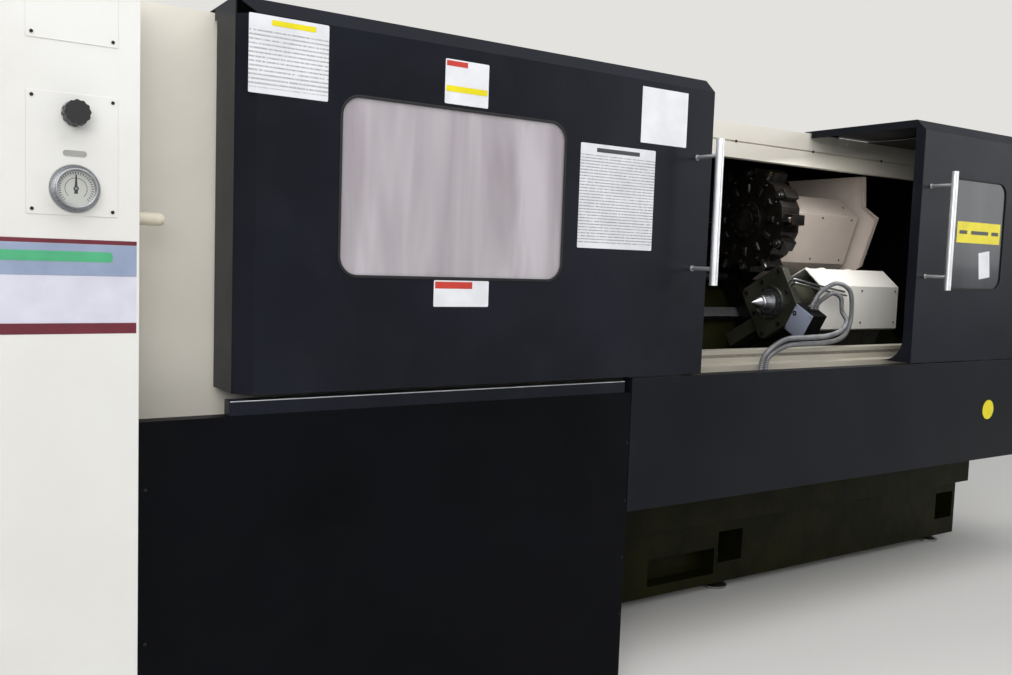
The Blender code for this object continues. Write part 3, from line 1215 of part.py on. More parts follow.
def make_end_cover():
    """Wide lipped plate that closes the right end of the carriage, bolted to the saddle."""
    low = stretched(END_COVER_SHARES, (END_COVER_LOW_S, END_COVER_FOOT), (END_COVER_LENGTH, END_COVER_HEIGHT))
    top = HEADER_BOTTOM - END_COVER_DROP
    outline = [bed_yz(s, h) for s, h in low]
    outline += [(AXIS_Y + END_COVER_FRONT, top), (AXIS_Y + END_COVER_BACK, top),
                bed_yz(END_COVER_TAIL_S, END_COVER_TAIL_H)]
    end = CARRIAGE_RIGHT + GAP + SHEET
    plate = prism("carriage_end_cover", outline, end - SHEET, end, "X", "cream")
    lip_path = outline[2:-1]
    lip = prism("end_cover_lip", folded_outline(lip_path, -SHEET), end - END_COVER_LIP, end - SHEET / 2, "X",
                "cream")
    return weld(plate, lip)


def make_tailstock():
    """Tailstock casting with its square front plate, and the sheet cover over it."""
    left, right = TAILSTOCK_LEFT, TAILSTOCK_RIGHT
    plate_right = left + PLATE_WIDTH
    nose_right = left + NOSE_END
    foot = WAY_HEIGHT + SIDE_GAP
    crown = AXIS_TO_BED + TAILSTOCK_CROWN
    outline = [(-TAILSTOCK_BELOW_AXIS, foot)]
    outline += stretched(TAILSTOCK_SHARES, (-TAILSTOCK_BELOW_AXIS, 0.0), (TAILSTOCK_WIDTH, crown))
    outline.append((TAILSTOCK_WIDTH * TAILSTOCK_FOOT_SHARE - TAILSTOCK_BELOW_AXIS, foot))
    body = bed_prism("tailstock_body", outline, nose_right, right, "olive")
    half, cut = PLATE_HALF, PLATE_CHAMFER
    axis_h = AXIS_TO_BED
    plate_outline = [(-half + cut, axis_h - half), (half - cut, axis_h - half), (half, axis_h - half + cut),
                     (half, axis_h + half - cut), (half - cut, axis_h + half), (-half + cut, axis_h + half),
                     (-half, axis_h + half - cut), (-half, axis_h - half + cut)]
    plate = bed_prism("tailstock_plate", plate_outline, left, plate_right, "olive")
    nose = rod("quill_nose", (plate_right - OVERRUN, AXIS_Y, AXIS_Z), (nose_right + OVERRUN, AXIS_Y, AXIS_Z),
               QUILL_NOSE_RADIUS, "olive", ROUND_SIDES)
    web = bed_prism("tailstock_web", rectangle(-PLATE_HALF / 2, WAY_HEIGHT + 2 * OVERRUN, 0.0, AXIS_TO_BED),
                    plate_right - OVERRUN, nose_right + OVERRUN, "olive")
    bore = rod("quill_bore", (left - OVERRUN, AXIS_Y, AXIS_Z), (left + QUILL_LENGTH + OVERRUN, AXIS_Y, AXIS_Z),
               QUILL_RADIUS + GAP, "olive", ROUND_SIDES)
    box_clearance = prism("box_clearance", terminal_box_outline(GAP), left - OVERRUN, right, "X", "olive")
    weld(body, nose, web, plate)
    carve(body, bore, box_clearance)
    start = right - TAILSTOCK_COVER_LENGTH
    end = right + SHEET + GAP
    outline = stretched(TAIL_COVER_SHARES, (-TAIL_COVER_BELOW_AXIS, TAIL_COVER_LOW_H),
                        (TAIL_COVER_WIDTH, TAIL_COVER_HEIGHT))
    cover = bed_prism("tailstock_cover", outline, start, end, "cream")
    hollow = bed_prism("tailstock_cover_hollow", inset_outline(outline, SHEET), start - OVERRUN, right + GAP,
                       "cream")
    carve(cover, hollow)
    return body, cover


def terminal_box_outline(grow=0.0):
    """(y, z) corners of the tilted terminal box, grown by a clearance."""
    tilt = TERMINAL_BOX_TILT
    across = Vector((math.cos(tilt), math.sin(tilt)))
    along = Vector((-math.sin(tilt), math.cos(tilt)))
    middle = Vector((AXIS_Y - TERMINAL_BOX_BEFORE_AXIS, AXIS_Z - TERMINAL_BOX_BELOW_AXIS))
    a, b = TERMINAL_BOX_WIDTH / 2 + grow, TERMINAL_BOX_HEIGHT / 2 + grow
    return [tuple(middle + across * u + along * v) for u, v in ((-a, -b), (a, -b), (a, b), (-a, b))]


def make_terminal_box():
    """Tilted terminal box on the tailstock's front corner."""
    left = TAILSTOCK_LEFT
    box = prism("terminal_box", terminal_box_outline(), left, left + TERMINAL_BOX_DEPTH, "X", "grey")
    return box


def make_quill():
    """Quill with its taper socket, the centre's fixed housing in it, and the point that spins in the housing."""
    front = TAILSTOCK_LEFT - QUILL_REST
    middle = (0.0, AXIS_Y, AXIS_Z)
    outer = rod("quill", (front, AXIS_Y, AXIS_Z), (front + QUILL_LENGTH, AXIS_Y, AXIS_Z), QUILL_RADIUS,
                "bright_steel", ROUND_SIDES)
    socket = rod("quill_socket", (front - OVERRUN, AXIS_Y, AXIS_Z), (front + QUILL_BORE_DEPTH, AXIS_Y, AXIS_Z),
                 QUILL_BORE_RADIUS, "bright_steel", ROUND_SIDES)
    carve(outer, socket)
    shoulder = front - GAP
    nose = shoulder - CENTRE_BODY_LENGTH
    shank_end = front + QUILL_BORE_DEPTH - OVERRUN
    seat_end = nose + CENTRE_STEM_LENGTH + GAP
    rim = CENTRE_BODY_RADIUS - CENTRE_CHAMFER
    housing_profile = [(0.0, seat_end), (CENTRE_STEM_RADIUS + GAP, seat_end), (CENTRE_STEM_RADIUS + GAP, nose),
                       (rim, nose), (CENTRE_BODY_RADIUS, nose + CENTRE_CHAMFER), (CENTRE_BODY_RADIUS, shoulder),
                       (CENTRE_SHANK_RADIUS, shoulder), (CENTRE_SHANK_RADIUS, shank_end), (0.0, shank_end)]
    housing = turned("centre_housing", housing_profile, middle, X_WAY, "bright_steel", ROUND_SIDES)
    face = nose - GAP
    tip_radius = CENTRE_BODY_RADIUS * CENTRE_TIP_SHARE
    point_profile = [(0.0, nose - CENTRE_TIP_LENGTH), (tip_radius, face - CENTRE_COLLAR), (tip_radius, face),
                     (CENTRE_STEM_RADIUS, face), (CENTRE_STEM_RADIUS, nose + CENTRE_STEM_LENGTH),
                     (0.0, nose + CENTRE_STEM_LENGTH)]
    centre = turned("live_centre", point_profile, middle, X_WAY, "bright_steel", ROUND_SIDES)
    return outer, housing, centre


def make_cable_chain():
    """Row of chain links lying in the tray's gutter, notched on top between links."""
    x0 = TAILSTOCK_LEFT - CHAIN_BEFORE_TAILSTOCK
    y0 = FACE_Y + CHAIN_INSET
    z0 = GUTTER_Z + SHEET + GAP
    outline = []
    links = int(round(CHAIN_LENGTH / CHAIN_PITCH))
    top = z0 + CHAIN_HEIGHT
    for link in range(links):
        start = x0 + link * CHAIN_PITCH
        outline += [(start, top - CHAIN_NOTCH), (start + CHAIN_NOTCH, top),
                    (start + CHAIN_PITCH - CHAIN_NOTCH, top)]
    end = x0 + links * CHAIN_PITCH
    outline += [(end, top), (end, z0), (x0, z0)]
    return prism("tailstock_cable_chain", outline, y0, y0 + CHAIN_WIDTH, "Y", "black_plastic")


def smooth_route(points, samples):
    """Even samples of a Catmull-Rom curve through the route's own points."""
    points = [Vector(p) for p in points]
    padded = [points[0] * 2 - points[1]] + points + [points[-1] * 2 - points[-2]]
    spans = len(points) - 1
    route = []
    for i in range(samples + 1):
        place = spans * i / samples
        span = min(int(place), spans - 1)
        t = place - span
        a, b, c, d = padded[span:span + 4]
        route.append(b * 2 + (c - a) * t + (a * 2 - b * 5 + c * 4 - d) * t * t
                     + (b * 3 - a - c * 3 + d) * t * t * t)
    return [p / 2 for p in route]


def conduit(name, points):
    """Plain tube along a smooth route, leaving and ending square to its first and last faces."""
    curve = bpy.data.curves.new(name, "CURVE")
    curve.dimensions = "3D"
    curve.bevel_depth = CONDUIT_RADIUS
    curve.bevel_resolution = 2
    curve.render_resolution_u = 0
    curve.use_fill_caps = True
    route = [Vector(points[0])] + smooth_route(points[1:-1], CONDUIT_SAMPLES) + [Vector(points[-1])]
    spline = curve.splines.new("POLY")
    spline.points.add(len(route) - 1)
    for point, place in zip(spline.points, route):
        point.co = (*place, 1.0)
    curve.materials.append(material("grey"))
    obj = bpy.data.objects.new(name, curve)
    bpy.context.scene.collection.objects.link(obj)
    return obj


def make_conduits():
    """Two flexible conduits from the terminal box, over and down into the cable chain."""
    outline = terminal_box_outline(GAP)
    top = (Vector(outline[2]) + Vector(outline[3])) / 2
    lean = Vector((-math.sin(TERMINAL_BOX_TILT), math.cos(TERMINAL_BOX_TILT)))
    chain_top = GUTTER_Z + SHEET + CHAIN_HEIGHT + 2 * GAP
    chain_y = FACE_Y + CHAIN_INSET + CHAIN_WIDTH / 2
    routes = {
        "conduit_1": [
            (0.060, -0.231, 0.060), (0.130, -0.256, 0.100), (0.210, -0.266, 0.070), (0.245, -0.256, -0.010),
            (0.210, -0.276, -0.085), (0.100, -0.321, -0.135), (-0.060, -0.366, -0.150), (-0.240, -0.411, -0.148),
            (-0.410, -0.451, -0.150), (-0.530, -0.471, -0.190),
        ],
        "conduit_2": [
            (0.085, -0.226, 0.030), (0.135, -0.236, 0.055), (0.185, -0.241, 0.035), (0.205, -0.236, -0.025),
            (0.170, -0.291, -0.065), (0.070, -0.341, -0.102), (-0.080, -0.386, -0.120), (-0.250, -0.431, -0.120),
            (-0.430, -0.462, -0.124), (-0.560, -0.478, -0.180),
        ],
    }
    quill_face = Vector((TAILSTOCK_LEFT, AXIS_Y, AXIS_Z))
    made = []
    for number, (name, shape) in enumerate(routes.items()):
        route = [tuple(quill_face + Vector(place)) for place in shape]
        x = TAILSTOCK_LEFT + TERMINAL_BOX_DEPTH / 2 + (number - 0.5) * CONDUIT_SPACING
        start = (x, top.x, top.y)
        rise = (x, top.x + lean.x * CONDUIT_SPACING, top.y + lean.y * CONDUIT_SPACING)
        end_x = route[-1][0] - CONDUIT_SPACING
        end = [(end_x, chain_y, chain_top + CONDUIT_SPACING), (end_x, chain_y, chain_top)]
        made.append(conduit(name, [start, rise] + route + end))
    return made


def console_frame():
    """Left, right and front of the operator console."""
    right = RIGHT - CONSOLE_RIGHT_INSET
    return right - CONSOLE_WIDTH, right, GUARD_Y - GAP - CONSOLE_DEPTH


def make_console():
    """Operator console on the right guard: a wedge-fronted case with a screen recess and button wells."""
    left, right, front = console_frame()
    back = GUARD_Y - GAP
    outline = [(front, CONSOLE_BOTTOM + CONSOLE_TILT_DEPTH), (front, CONSOLE_TOP - CONSOLE_TILT_DEPTH),
               (front + CONSOLE_TILT_DEPTH, CONSOLE_TOP), (back, CONSOLE_TOP), (back, CONSOLE_BOTTOM),
               (front + CONSOLE_TILT_DEPTH, CONSOLE_BOTTOM)]
    console = prism("operator_console", outline, left, right, "X", "charcoal")
    sx = left + SCREEN_LEFT_MARGIN
    sz = CONSOLE_TOP - CONSOLE_TILT_DEPTH - SCREEN_TOP_MARGIN
    carve(console, block("screen_recess", (sx, front - OVERRUN, sz - SCREEN_HEIGHT),
                         (sx + SCREEN_WIDTH, front + SCREEN_DEPTH, sz), "charcoal"))
    return console


def make_console_controls(console):
    """Emergency stop, cycle start and handwheel, each in or on its own well."""
    left, right, front = console_frame()
    places = [left + BUTTON_INSET + i * (CONSOLE_WIDTH - 2 * BUTTON_INSET) / 2 for i in range(3)]
    stem_way = rod("estop_well", (places[0], front - OVERRUN, BUTTON_ROW_Z),
                   (places[0], front + WELL_DEPTH, BUTTON_ROW_Z), ESTOP_STEM_RADIUS + SIDE_GAP, "charcoal")
    button_way = rod("button_well", (places[1], front - OVERRUN, BUTTON_ROW_Z),
                     (places[1], front + WELL_DEPTH, BUTTON_ROW_Z), BUTTON_RADIUS + SIDE_GAP, "charcoal")
    carve(console, stem_way, button_way)
    cap_back = ESTOP_TRAVEL + SIDE_GAP
    bottom = -(WELL_DEPTH - ESTOP_TRAVEL - SIDE_GAP)
    profile = [(0.0, bottom), (ESTOP_STEM_RADIUS, bottom), (ESTOP_STEM_RADIUS, cap_back),
               (ESTOP_RADIUS, cap_back),
               (ESTOP_RADIUS, cap_back + ESTOP_CAP * 2 / 3), (ESTOP_RADIUS * 2 / 3, cap_back + ESTOP_CAP),
               (0.0, cap_back + ESTOP_CAP)]
    stop = turned("emergency_stop", profile, (0.0, 0.0, 0.0), -Y_WAY, "red", SMALL_SIDES)
    stop.location = (places[0], front, BUTTON_ROW_Z)
    button = rod("cycle_start_button", (0.0, -BUTTON_DEPTH / 2, 0.0), (0.0, WELL_DEPTH - ESTOP_TRAVEL, 0.0),
                 BUTTON_RADIUS, "green")
    button.location = (places[1], front, BUTTON_ROW_Z)
    wheel_at = (places[2], front - GAP, BUTTON_ROW_Z)
    wheel = fluted_knob("handwheel", wheel_at, WHEEL_RADIUS, WHEEL_DEPTH, "black_plastic")
    crank = rod("handwheel_crank", (0.0, -WHEEL_DEPTH - CRANK_LENGTH, CRANK_OFFSET),
                (0.0, -WHEEL_DEPTH / 2, CRANK_OFFSET), CRANK_RADIUS, "black_plastic")
    crank.location = wheel_at
    weld(wheel, crank)


def build_bed_side():
    """Everything from the floor to the ways, with the feet."""
    make_base()
    make_feet()
    make_slant_bed()
    make_carriage_rails()
    make_ball_screw()


def build_spindle_side():
    """Headstock, spindle, chuck, motor and belt."""
    make_headstock()
    spindle = make_spindle()
    chuck = make_chuck()
    carrier("spindle_carrier", (HEADSTOCK_RIGHT, AXIS_Y, AXIS_Z), [spindle] + chuck)
    _, pulley = make_motor()
    carrier("motor_carrier", (BED_LEFT, MOTOR_Y, MOTOR_Z), [pulley])
    make_belt()


def build_covers():
    """Sheet-metal cabinets, guards and covers, with the gauge and knob."""
    make_left_cabinet()
    make_gauge()
    fluted_knob("regulator_knob", (CABINET_RIGHT - GAUGE_OFFSET, FACE_Y - GAP, SILL_Z + KNOB_ABOVE_SILL),
                KNOB_RADIUS, KNOB_DEPTH, "black_plastic")
    make_buffer()
    make_lower_covers()
    make_guards()
    make_header()
    make_rear_enclosure()
    make_electrical_cabinet()
    make_chip_tray()


def build_doors():
    """Both sliding doors in the open position."""
    left_window = (LEFT_WINDOW_INSET, LEFT_WINDOW_ABOVE_SILL, LEFT_WINDOW_WIDTH, LEFT_WINDOW_HEIGHT)
    right_window = (RIGHT_WINDOW_INSET, RIGHT_WINDOW_ABOVE_SILL, RIGHT_WINDOW_WIDTH, RIGHT_WINDOW_HEIGHT)
    make_door("left", LEFT_DOOR_LEFT, LEFT_DOOR_RIGHT, left_window, LEFT_DOOR_RIGHT - LEFT_HANDLE_INSET, True,
              BUFFER_RETURN)
    make_door("right", RIGHT_DOOR_LEFT, RIGHT_DOOR_RIGHT, right_window, RIGHT_DOOR_LEFT + RIGHT_HANDLE_INSET,
              False, DOOR_RETURN)


def build_carriage():
    """Saddle, cross slide, turret and its cover."""
    saddle, slide = make_carriage()
    housing = make_turret_housing()
    disc = make_turret_disc()
    cover = make_turret_cover()
    y, z = bed_yz(TURRET_S, AXIS_TO_BED)
    end_cover = make_end_cover()
    carrier("carriage_carrier", (CARRIAGE_LEFT, *bed_yz(0.0, 0.0)), [saddle, end_cover])
    carrier("cross_slide_carrier", (CARRIAGE_LEFT, y, z), [slide, housing, cover])
    carrier("turret_carrier", (DISC_RIGHT, y, z), [disc])


def build_tailstock():
    """Tailstock with its cover, terminal box, quill, live centre, chain and conduits."""
    body, cover = make_tailstock()
    box = make_terminal_box()
    quill, housing, centre = make_quill()
    chain = make_cable_chain()
    conduits = make_conduits()
    carrier("tailstock_carrier", (TAILSTOCK_LEFT, AXIS_Y, AXIS_Z), [body, cover, box, chain] + conduits)
    carrier("quill_carrier", (TAILSTOCK_LEFT, AXIS_Y, AXIS_Z), [quill, housing, centre])


def main():
    """Build the whole lathe."""
    clear_scene()
    build_bed_side()
    build_spindle_side()
    build_covers()
    build_doors()
    build_carriage()
    build_tailstock()
    make_console_controls(make_console())


if __name__ == "__main__":
    main()
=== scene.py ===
"""Looks of the slant-bed turning lathe: finishes, trims, plates, fittings, light and camera."""

from __future__ import annotations

import json
import logging
import math
from dataclasses import dataclass, field
from enum import Enum
from functools import reduce
from typing import Callable, Optional, Sequence, Union

import bmesh
import bpy
from mathutils import Matrix, Vector

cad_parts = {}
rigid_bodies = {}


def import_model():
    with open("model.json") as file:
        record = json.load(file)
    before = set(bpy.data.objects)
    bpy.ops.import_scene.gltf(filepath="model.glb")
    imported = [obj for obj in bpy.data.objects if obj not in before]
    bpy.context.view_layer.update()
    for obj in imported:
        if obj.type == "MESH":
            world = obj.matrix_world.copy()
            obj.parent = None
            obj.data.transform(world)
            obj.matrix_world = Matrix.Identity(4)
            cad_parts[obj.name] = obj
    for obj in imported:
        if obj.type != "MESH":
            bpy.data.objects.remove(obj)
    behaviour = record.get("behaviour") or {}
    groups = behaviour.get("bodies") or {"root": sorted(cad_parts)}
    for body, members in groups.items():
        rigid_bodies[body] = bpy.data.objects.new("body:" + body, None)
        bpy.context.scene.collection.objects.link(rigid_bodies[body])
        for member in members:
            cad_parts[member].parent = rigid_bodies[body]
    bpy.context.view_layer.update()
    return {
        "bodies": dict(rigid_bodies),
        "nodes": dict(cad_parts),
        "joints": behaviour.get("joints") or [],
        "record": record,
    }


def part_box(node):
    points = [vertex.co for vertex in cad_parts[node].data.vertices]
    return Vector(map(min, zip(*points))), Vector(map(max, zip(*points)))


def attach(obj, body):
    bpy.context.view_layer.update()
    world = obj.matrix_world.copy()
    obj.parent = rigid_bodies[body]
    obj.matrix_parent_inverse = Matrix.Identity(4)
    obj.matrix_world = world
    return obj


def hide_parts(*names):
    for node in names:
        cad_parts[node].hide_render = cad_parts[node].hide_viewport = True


LOG = logging.getLogger("lathe")
MM = 0.001
TOUCH = 1e-6  # Metres within which two points count as one.
GAP = 0.0001  # Clearance between a trim piece and the face it sits on.
BROAD_FACE = 0.006  # Area over longest edge, in metres, from which a face counts as broad.
Obj = bpy.types.Object
Socket = bpy.types.NodeSocket
Point = tuple[float, float, float]
Value = Union[float, tuple, Socket]
FRONT: Point = (0, -1, 0)
LEFT: Point = (-1, 0, 0)


def linear(hex_code: str) -> tuple[float, float, float, float]:
    """Turn an sRGB hex colour into the linear values that shaders take.

    Args:
        hex_code: Colour such as "#23262e".

    Returns:
        Red, green, blue and an alpha of one.
    """
    values = [int(hex_code.lstrip("#")[i:i + 2], 16) / 255 for i in (0, 2, 4)]
    return (*(v / 12.92 if v <= 0.04045 else ((v + 0.055) / 1.055) ** 2.4 for v in values), 1.0)


def box_of(node: str) -> tuple[Vector, Vector]:
    """Lowest and highest corner of a node at rest."""
    low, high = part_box(node)
    return Vector(low), Vector(high)


def middle_of(node: str) -> Vector:
    """Middle of a node's box at rest."""
    low, high = box_of(node)
    return (low + high) / 2


class Graph:
    """Node tree under construction."""

    def __init__(self, tree: bpy.types.NodeTree) -> None:
        self.tree = tree

    def feed(self, socket: Socket, value: Value) -> None:
        """Link an output to a socket, or set the socket to a plain value."""
        if isinstance(value, Socket):
            self.tree.links.new(value, socket)
        else:
            socket.default_value = value

    def node(self, kind: str, values: Optional[dict] = None, **settings: object) -> bpy.types.Node:
        """Add one shader node.

        Args:
            kind: Blender's type name without the ShaderNode prefix.
            values: Socket name or number to a plain value or to the output that feeds it.
            settings: Attributes of the node itself.

        Returns:
            The new node.
        """
        node = self.tree.nodes.new("ShaderNode" + kind)
        for name, value in settings.items():
            setattr(node, name, value)
        for socket, value in (values or {}).items():
            self.feed(node.inputs[socket], value)
        return node

    def calc(self, operation: str, *terms: Value) -> Socket:
        """Result of one Math node."""
        return self.node("Math", dict(enumerate(terms)), operation=operation).outputs[0]

    def every(self, *masks: Value) -> Socket:
        """Mask that is one only where all the masks are."""
        return reduce(lambda one, other: self.calc("MULTIPLY", one, other), masks)

    def between(self, value: Value, low: float, high: float) -> Socket:
        """Mask that is one where a value lies between two limits."""
        return self.every(self.calc("GREATER_THAN", value, low), self.calc("LESS_THAN", value, high))


class Paint(Graph):
    """Material of one finish, from the object's coordinates to the shader."""

    def __init__(self, finish: Finish) -> None:
        self.finish = finish
        self.made = bpy.data.materials.new(finish.name)
        self.made.use_nodes = True
        super().__init__(self.made.node_tree)
        self.place = self.node("TexCoord").outputs["Object"]

    def noise(self, size_mm: float, detail: float, distortion: float = 0.0) -> Socket:
        """Clouds of a real size."""
        return self.node("TexNoise", {"Vector": self.place, "Scale": 1 / (size_mm * MM), "Detail": detail,
                                      "Distortion": distortion}).outputs["Fac"]

    def drawn(self, scale: Point, detail: float, distortion: float = 0.0) -> Socket:
        """Clouds with their own count a metre along each axis."""
        way = self.node("Mapping", {"Vector": self.place, "Scale": scale}).outputs["Vector"]
        return self.node("TexNoise", {"Vector": way, "Scale": 1.0, "Detail": detail,
                                      "Distortion": distortion}).outputs["Fac"]

    def ramp(self, pattern: Value, low: float, high: float) -> Socket:
        """Blend from the finish's shade to its colour between two values of a pattern."""
        ramp = self.node("ValToRGB", {"Fac": pattern})
        stops = ramp.color_ramp.elements
        stops[0].position, stops[1].position = low, high
        stops[0].color, stops[1].color = linear(self.finish.shade), linear(self.finish.colour)
        return ramp.outputs["Color"]

    def tones(self, size_mm: float) -> Socket:
        """The two tones in soft clouds of a real size."""
        return self.ramp(self.noise(size_mm, 4.0), 0.35, 0.65)

    def mix(self, share: Value, first: Value, second: Value) -> Socket:
        """Blend of two colours."""
        return self.node("Mix", {0: share, 6: first, 7: second}, data_type="RGBA").outputs[2]

    def gloss(self, pattern: Value, swing: float) -> Socket:
        """Roughness that a pattern moves by a swing to each side."""
        middle = self.finish.roughness
        return self.node("MapRange", {"Value": pattern, "To Min": max(middle - swing, 0.02),
                                      "To Max": middle + swing}).outputs["Result"]

    def relief(self, pattern: Value, depth_mm: float) -> Socket:
        """Normal bumped by a height pattern."""
        return self.node("Bump", {"Height": pattern, "Distance": depth_mm * MM, "Strength": 1.0}).outputs["Normal"]

    def done(self, inputs: dict) -> bpy.types.Material:
        """Feed the shader's inputs and hand out the material."""
        shader = self.tree.nodes["Principled BSDF"]
        for name, value in inputs.items():
            self.feed(shader.inputs[name], value)
        return self.made


class Way(Enum):
    """Directions that grain, grooves and rods run in."""

    X = "X"
    Y = "Y"
    Z = "Z"


@dataclass(frozen=True)
class Finish:
    """What every surface finish shares: a name, two tones and a gloss."""

    name: str
    colour: str
    shade: str
    roughness: float


@dataclass(frozen=True)
class PowderCoat(Finish):
    """Baked powder coat on sheet steel: an orange-peel skin that breaks reflections up."""

    peel_mm: float = 5.0
    peel_depth_mm: float = 0.25
    cloud_mm: float = 420.0
    dust: float = 0.0
    dust_colour: str = "#6d6a64"
    shine: float = 0.5

    def material(self) -> bpy.types.Material:
        """Powder coat with peel, slow tone changes, smears a hand wide and some workshop dust."""
        paint = Paint(self)
        colour = paint.tones(self.cloud_mm)
        # The real peel is finer than this; it is drawn coarser so that it shows at all.
        peel = paint.noise(self.peel_mm, 2.0)
        smear = paint.noise(160.0, 5.0, 0.6)
        if self.dust:
            heavy = paint.node("MapRange", {"Value": smear, "From Min": 0.48, "From Max": 0.78, "To Max": self.dust})
            colour = paint.mix(heavy.outputs["Result"], colour, linear(self.dust_colour))
        return paint.done({"Base Color": colour, "Roughness": paint.gloss(smear, 0.07),
                           "Normal": paint.relief(peel, self.peel_depth_mm), "Specular IOR Level": self.shine})


@dataclass(frozen=True)
class PaintedShadeInside(Finish):
    """Powder coat with painted shade: near black on every face within an inner box, where the working space lies in
    shade.
    """

    # Colour of the painted shade on the faces within the box.
    inner: str = "#121214"
    low: Point = (-2.5985, -0.30, 0.0)
    high: Point = (2.5985, 0.7218, 2.0885)
    peel_mm: float = 5.0
    shine: float = 0.3

    def material(self) -> bpy.types.Material:
        """Cream outside, with near black painted shade within the box, so that the working space looks deep."""
        paint = Paint(self)
        axes = paint.node("SeparateXYZ", {"Vector": paint.place}).outputs
        # Mask of the faces within the box, which take the painted shade.
        painted_shade_mask = paint.every(*(paint.between(*limits) for limits in zip(axes, self.low, self.high)))
        return paint.done({"Base Color": paint.mix(painted_shade_mask, paint.tones(500.0), linear(self.inner)),
                           "Normal": paint.relief(paint.noise(self.peel_mm, 2.0), 0.2),
                           "Roughness": self.roughness, "Specular IOR Level": self.shine})


@dataclass(frozen=True)
class PaintedCasting(Finish):
    """Filled and brush-painted iron: slow waves from the filler and a fine sand grain."""

    wave_mm: float = 70.0
    grain_mm: float = 6.0
    shine: float = 0.3

    def material(self) -> bpy.types.Material:
        """Paint over filler, glossy on the crests and dull in the hollows."""
        paint = Paint(self)
        wave = paint.noise(self.wave_mm, 3.0)
        height = paint.calc("ADD", wave, paint.calc("MULTIPLY", paint.noise(self.grain_mm, 2.0), 0.12))
        return paint.done({"Base Color": paint.tones(150.0), "Roughness": paint.gloss(wave, 0.12),
                           "Normal": paint.relief(height, 2.5), "Specular IOR Level": self.shine})


@dataclass(frozen=True)
class BareMetal(Finish):
    """Machined metal with tool marks drawn out along one way."""

    way: Way = Way.X
    grain_mm: float = 1.2
    drawn: float = 40.0
    marks_mm: float = 0.05

    def material(self) -> bpy.types.Material:
        """Metal whose grain lies along its way and stretches its highlights across it."""
        paint = Paint(self)
        fine = 1 / (self.grain_mm * MM)
        grain = paint.drawn(tuple(fine / self.drawn if way is self.way else fine for way in Way), 3.0)
        return paint.done({"Base Color": paint.tones(60.0), "Roughness": paint.gloss(grain, 0.08),
                           "Normal": paint.relief(grain, self.marks_mm), "Metallic": 1.0})


@dataclass(frozen=True)
class BlackOxide(Finish):
    """Blackened and oiled steel, brownish where the film is thick."""

    grain_mm: float = 4.0

    def material(self) -> bpy.types.Material:
        """Dark oxide with oily gloss patches a thumb wide."""
        paint = Paint(self)
        return paint.done({"Base Color": paint.tones(45.0), "Roughness": paint.gloss(paint.noise(35.0, 6.0, 0.8), 0.16),
                           "Normal": paint.relief(paint.noise(self.grain_mm, 2.0), 0.3), "Metallic": 0.55})


@dataclass(frozen=True)
class Moulded(Finish):
    """Moulded plastic or rubber with the spark grain of its tool."""

    grain_mm: float = 1.5
    grain_depth_mm: float = 0.08
    coat: float = 0.0

    def material(self) -> bpy.types.Material:
        """Even colour with a fine moulded grain that dulls the light at grazing angles."""
        paint = Paint(self)
        grain = paint.node("TexVoronoi", {"Vector": paint.place, "Scale": 1 / (self.grain_mm * MM)})
        return paint.done({"Base Color": paint.tones(80.0), "Roughness": self.roughness, "Coat Weight": self.coat,
                           "Normal": paint.relief(grain.outputs["Distance"], self.grain_depth_mm)})


@dataclass(frozen=True)
class FilmedPane(Finish):
    """Safety pane under its milky protective film, with soft upright streaks of painted reflection of folded white
    cloth.
    """

    milky: float = 0.85
    reflection_fold_mm: float = 130.0
    coat: float = 0.6
    shine: float = 0.5

    def material(self) -> bpy.types.Material:
        """Half-clear pane with upright streaks of painted reflection and a glossy outer face."""
        paint = Paint(self)
        # Upright streaks of tone: a painted reflection of folded white cloth, not a fold of the film.
        painted_reflection_streaks = paint.drawn((1 / (self.reflection_fold_mm * MM), 1.0, 0.9), 3.0, 0.4)
        return paint.done({"Base Color": paint.ramp(painted_reflection_streaks, 0.36, 0.62), "Roughness": self.roughness,
                           "Transmission Weight": 1.0 - self.milky, "Coat Weight": self.coat,
                           "Coat Roughness": 0.06, "Specular IOR Level": self.shine})


@dataclass(frozen=True)
class Printed(Finish):
    """Plain printed field on vinyl or paper, with faint rows of tone where print would stand."""

    rows_mm: float = 0.0
    rows_colour: str = "#8a8a88"
    rows_top: float = 0.0
    rows_low: float = 0.0
    ink: float = 0.75

    def material(self) -> bpy.types.Material:
        """Field of one colour, and rows of grey ticks between two heights."""
        paint = Paint(self)
        base = paint.tones(90.0)
        if self.rows_mm:
            height = paint.node("SeparateXYZ", {"Vector": paint.place}).outputs["Z"]
            beat = paint.calc("FRACT", paint.calc("MULTIPLY", height, 1 / (self.rows_mm * MM)))
            ticks = paint.calc("GREATER_THAN", paint.drawn((420.0, 1.0, 40.0), 1.0), 0.42)
            mask = paint.every(paint.calc("GREATER_THAN", beat, 0.62), ticks,
                               paint.between(height, self.rows_low, self.rows_top), self.ink)
            base = paint.mix(mask, base, linear(self.rows_colour))
        return paint.done({"Base Color": base, "Roughness": self.roughness})


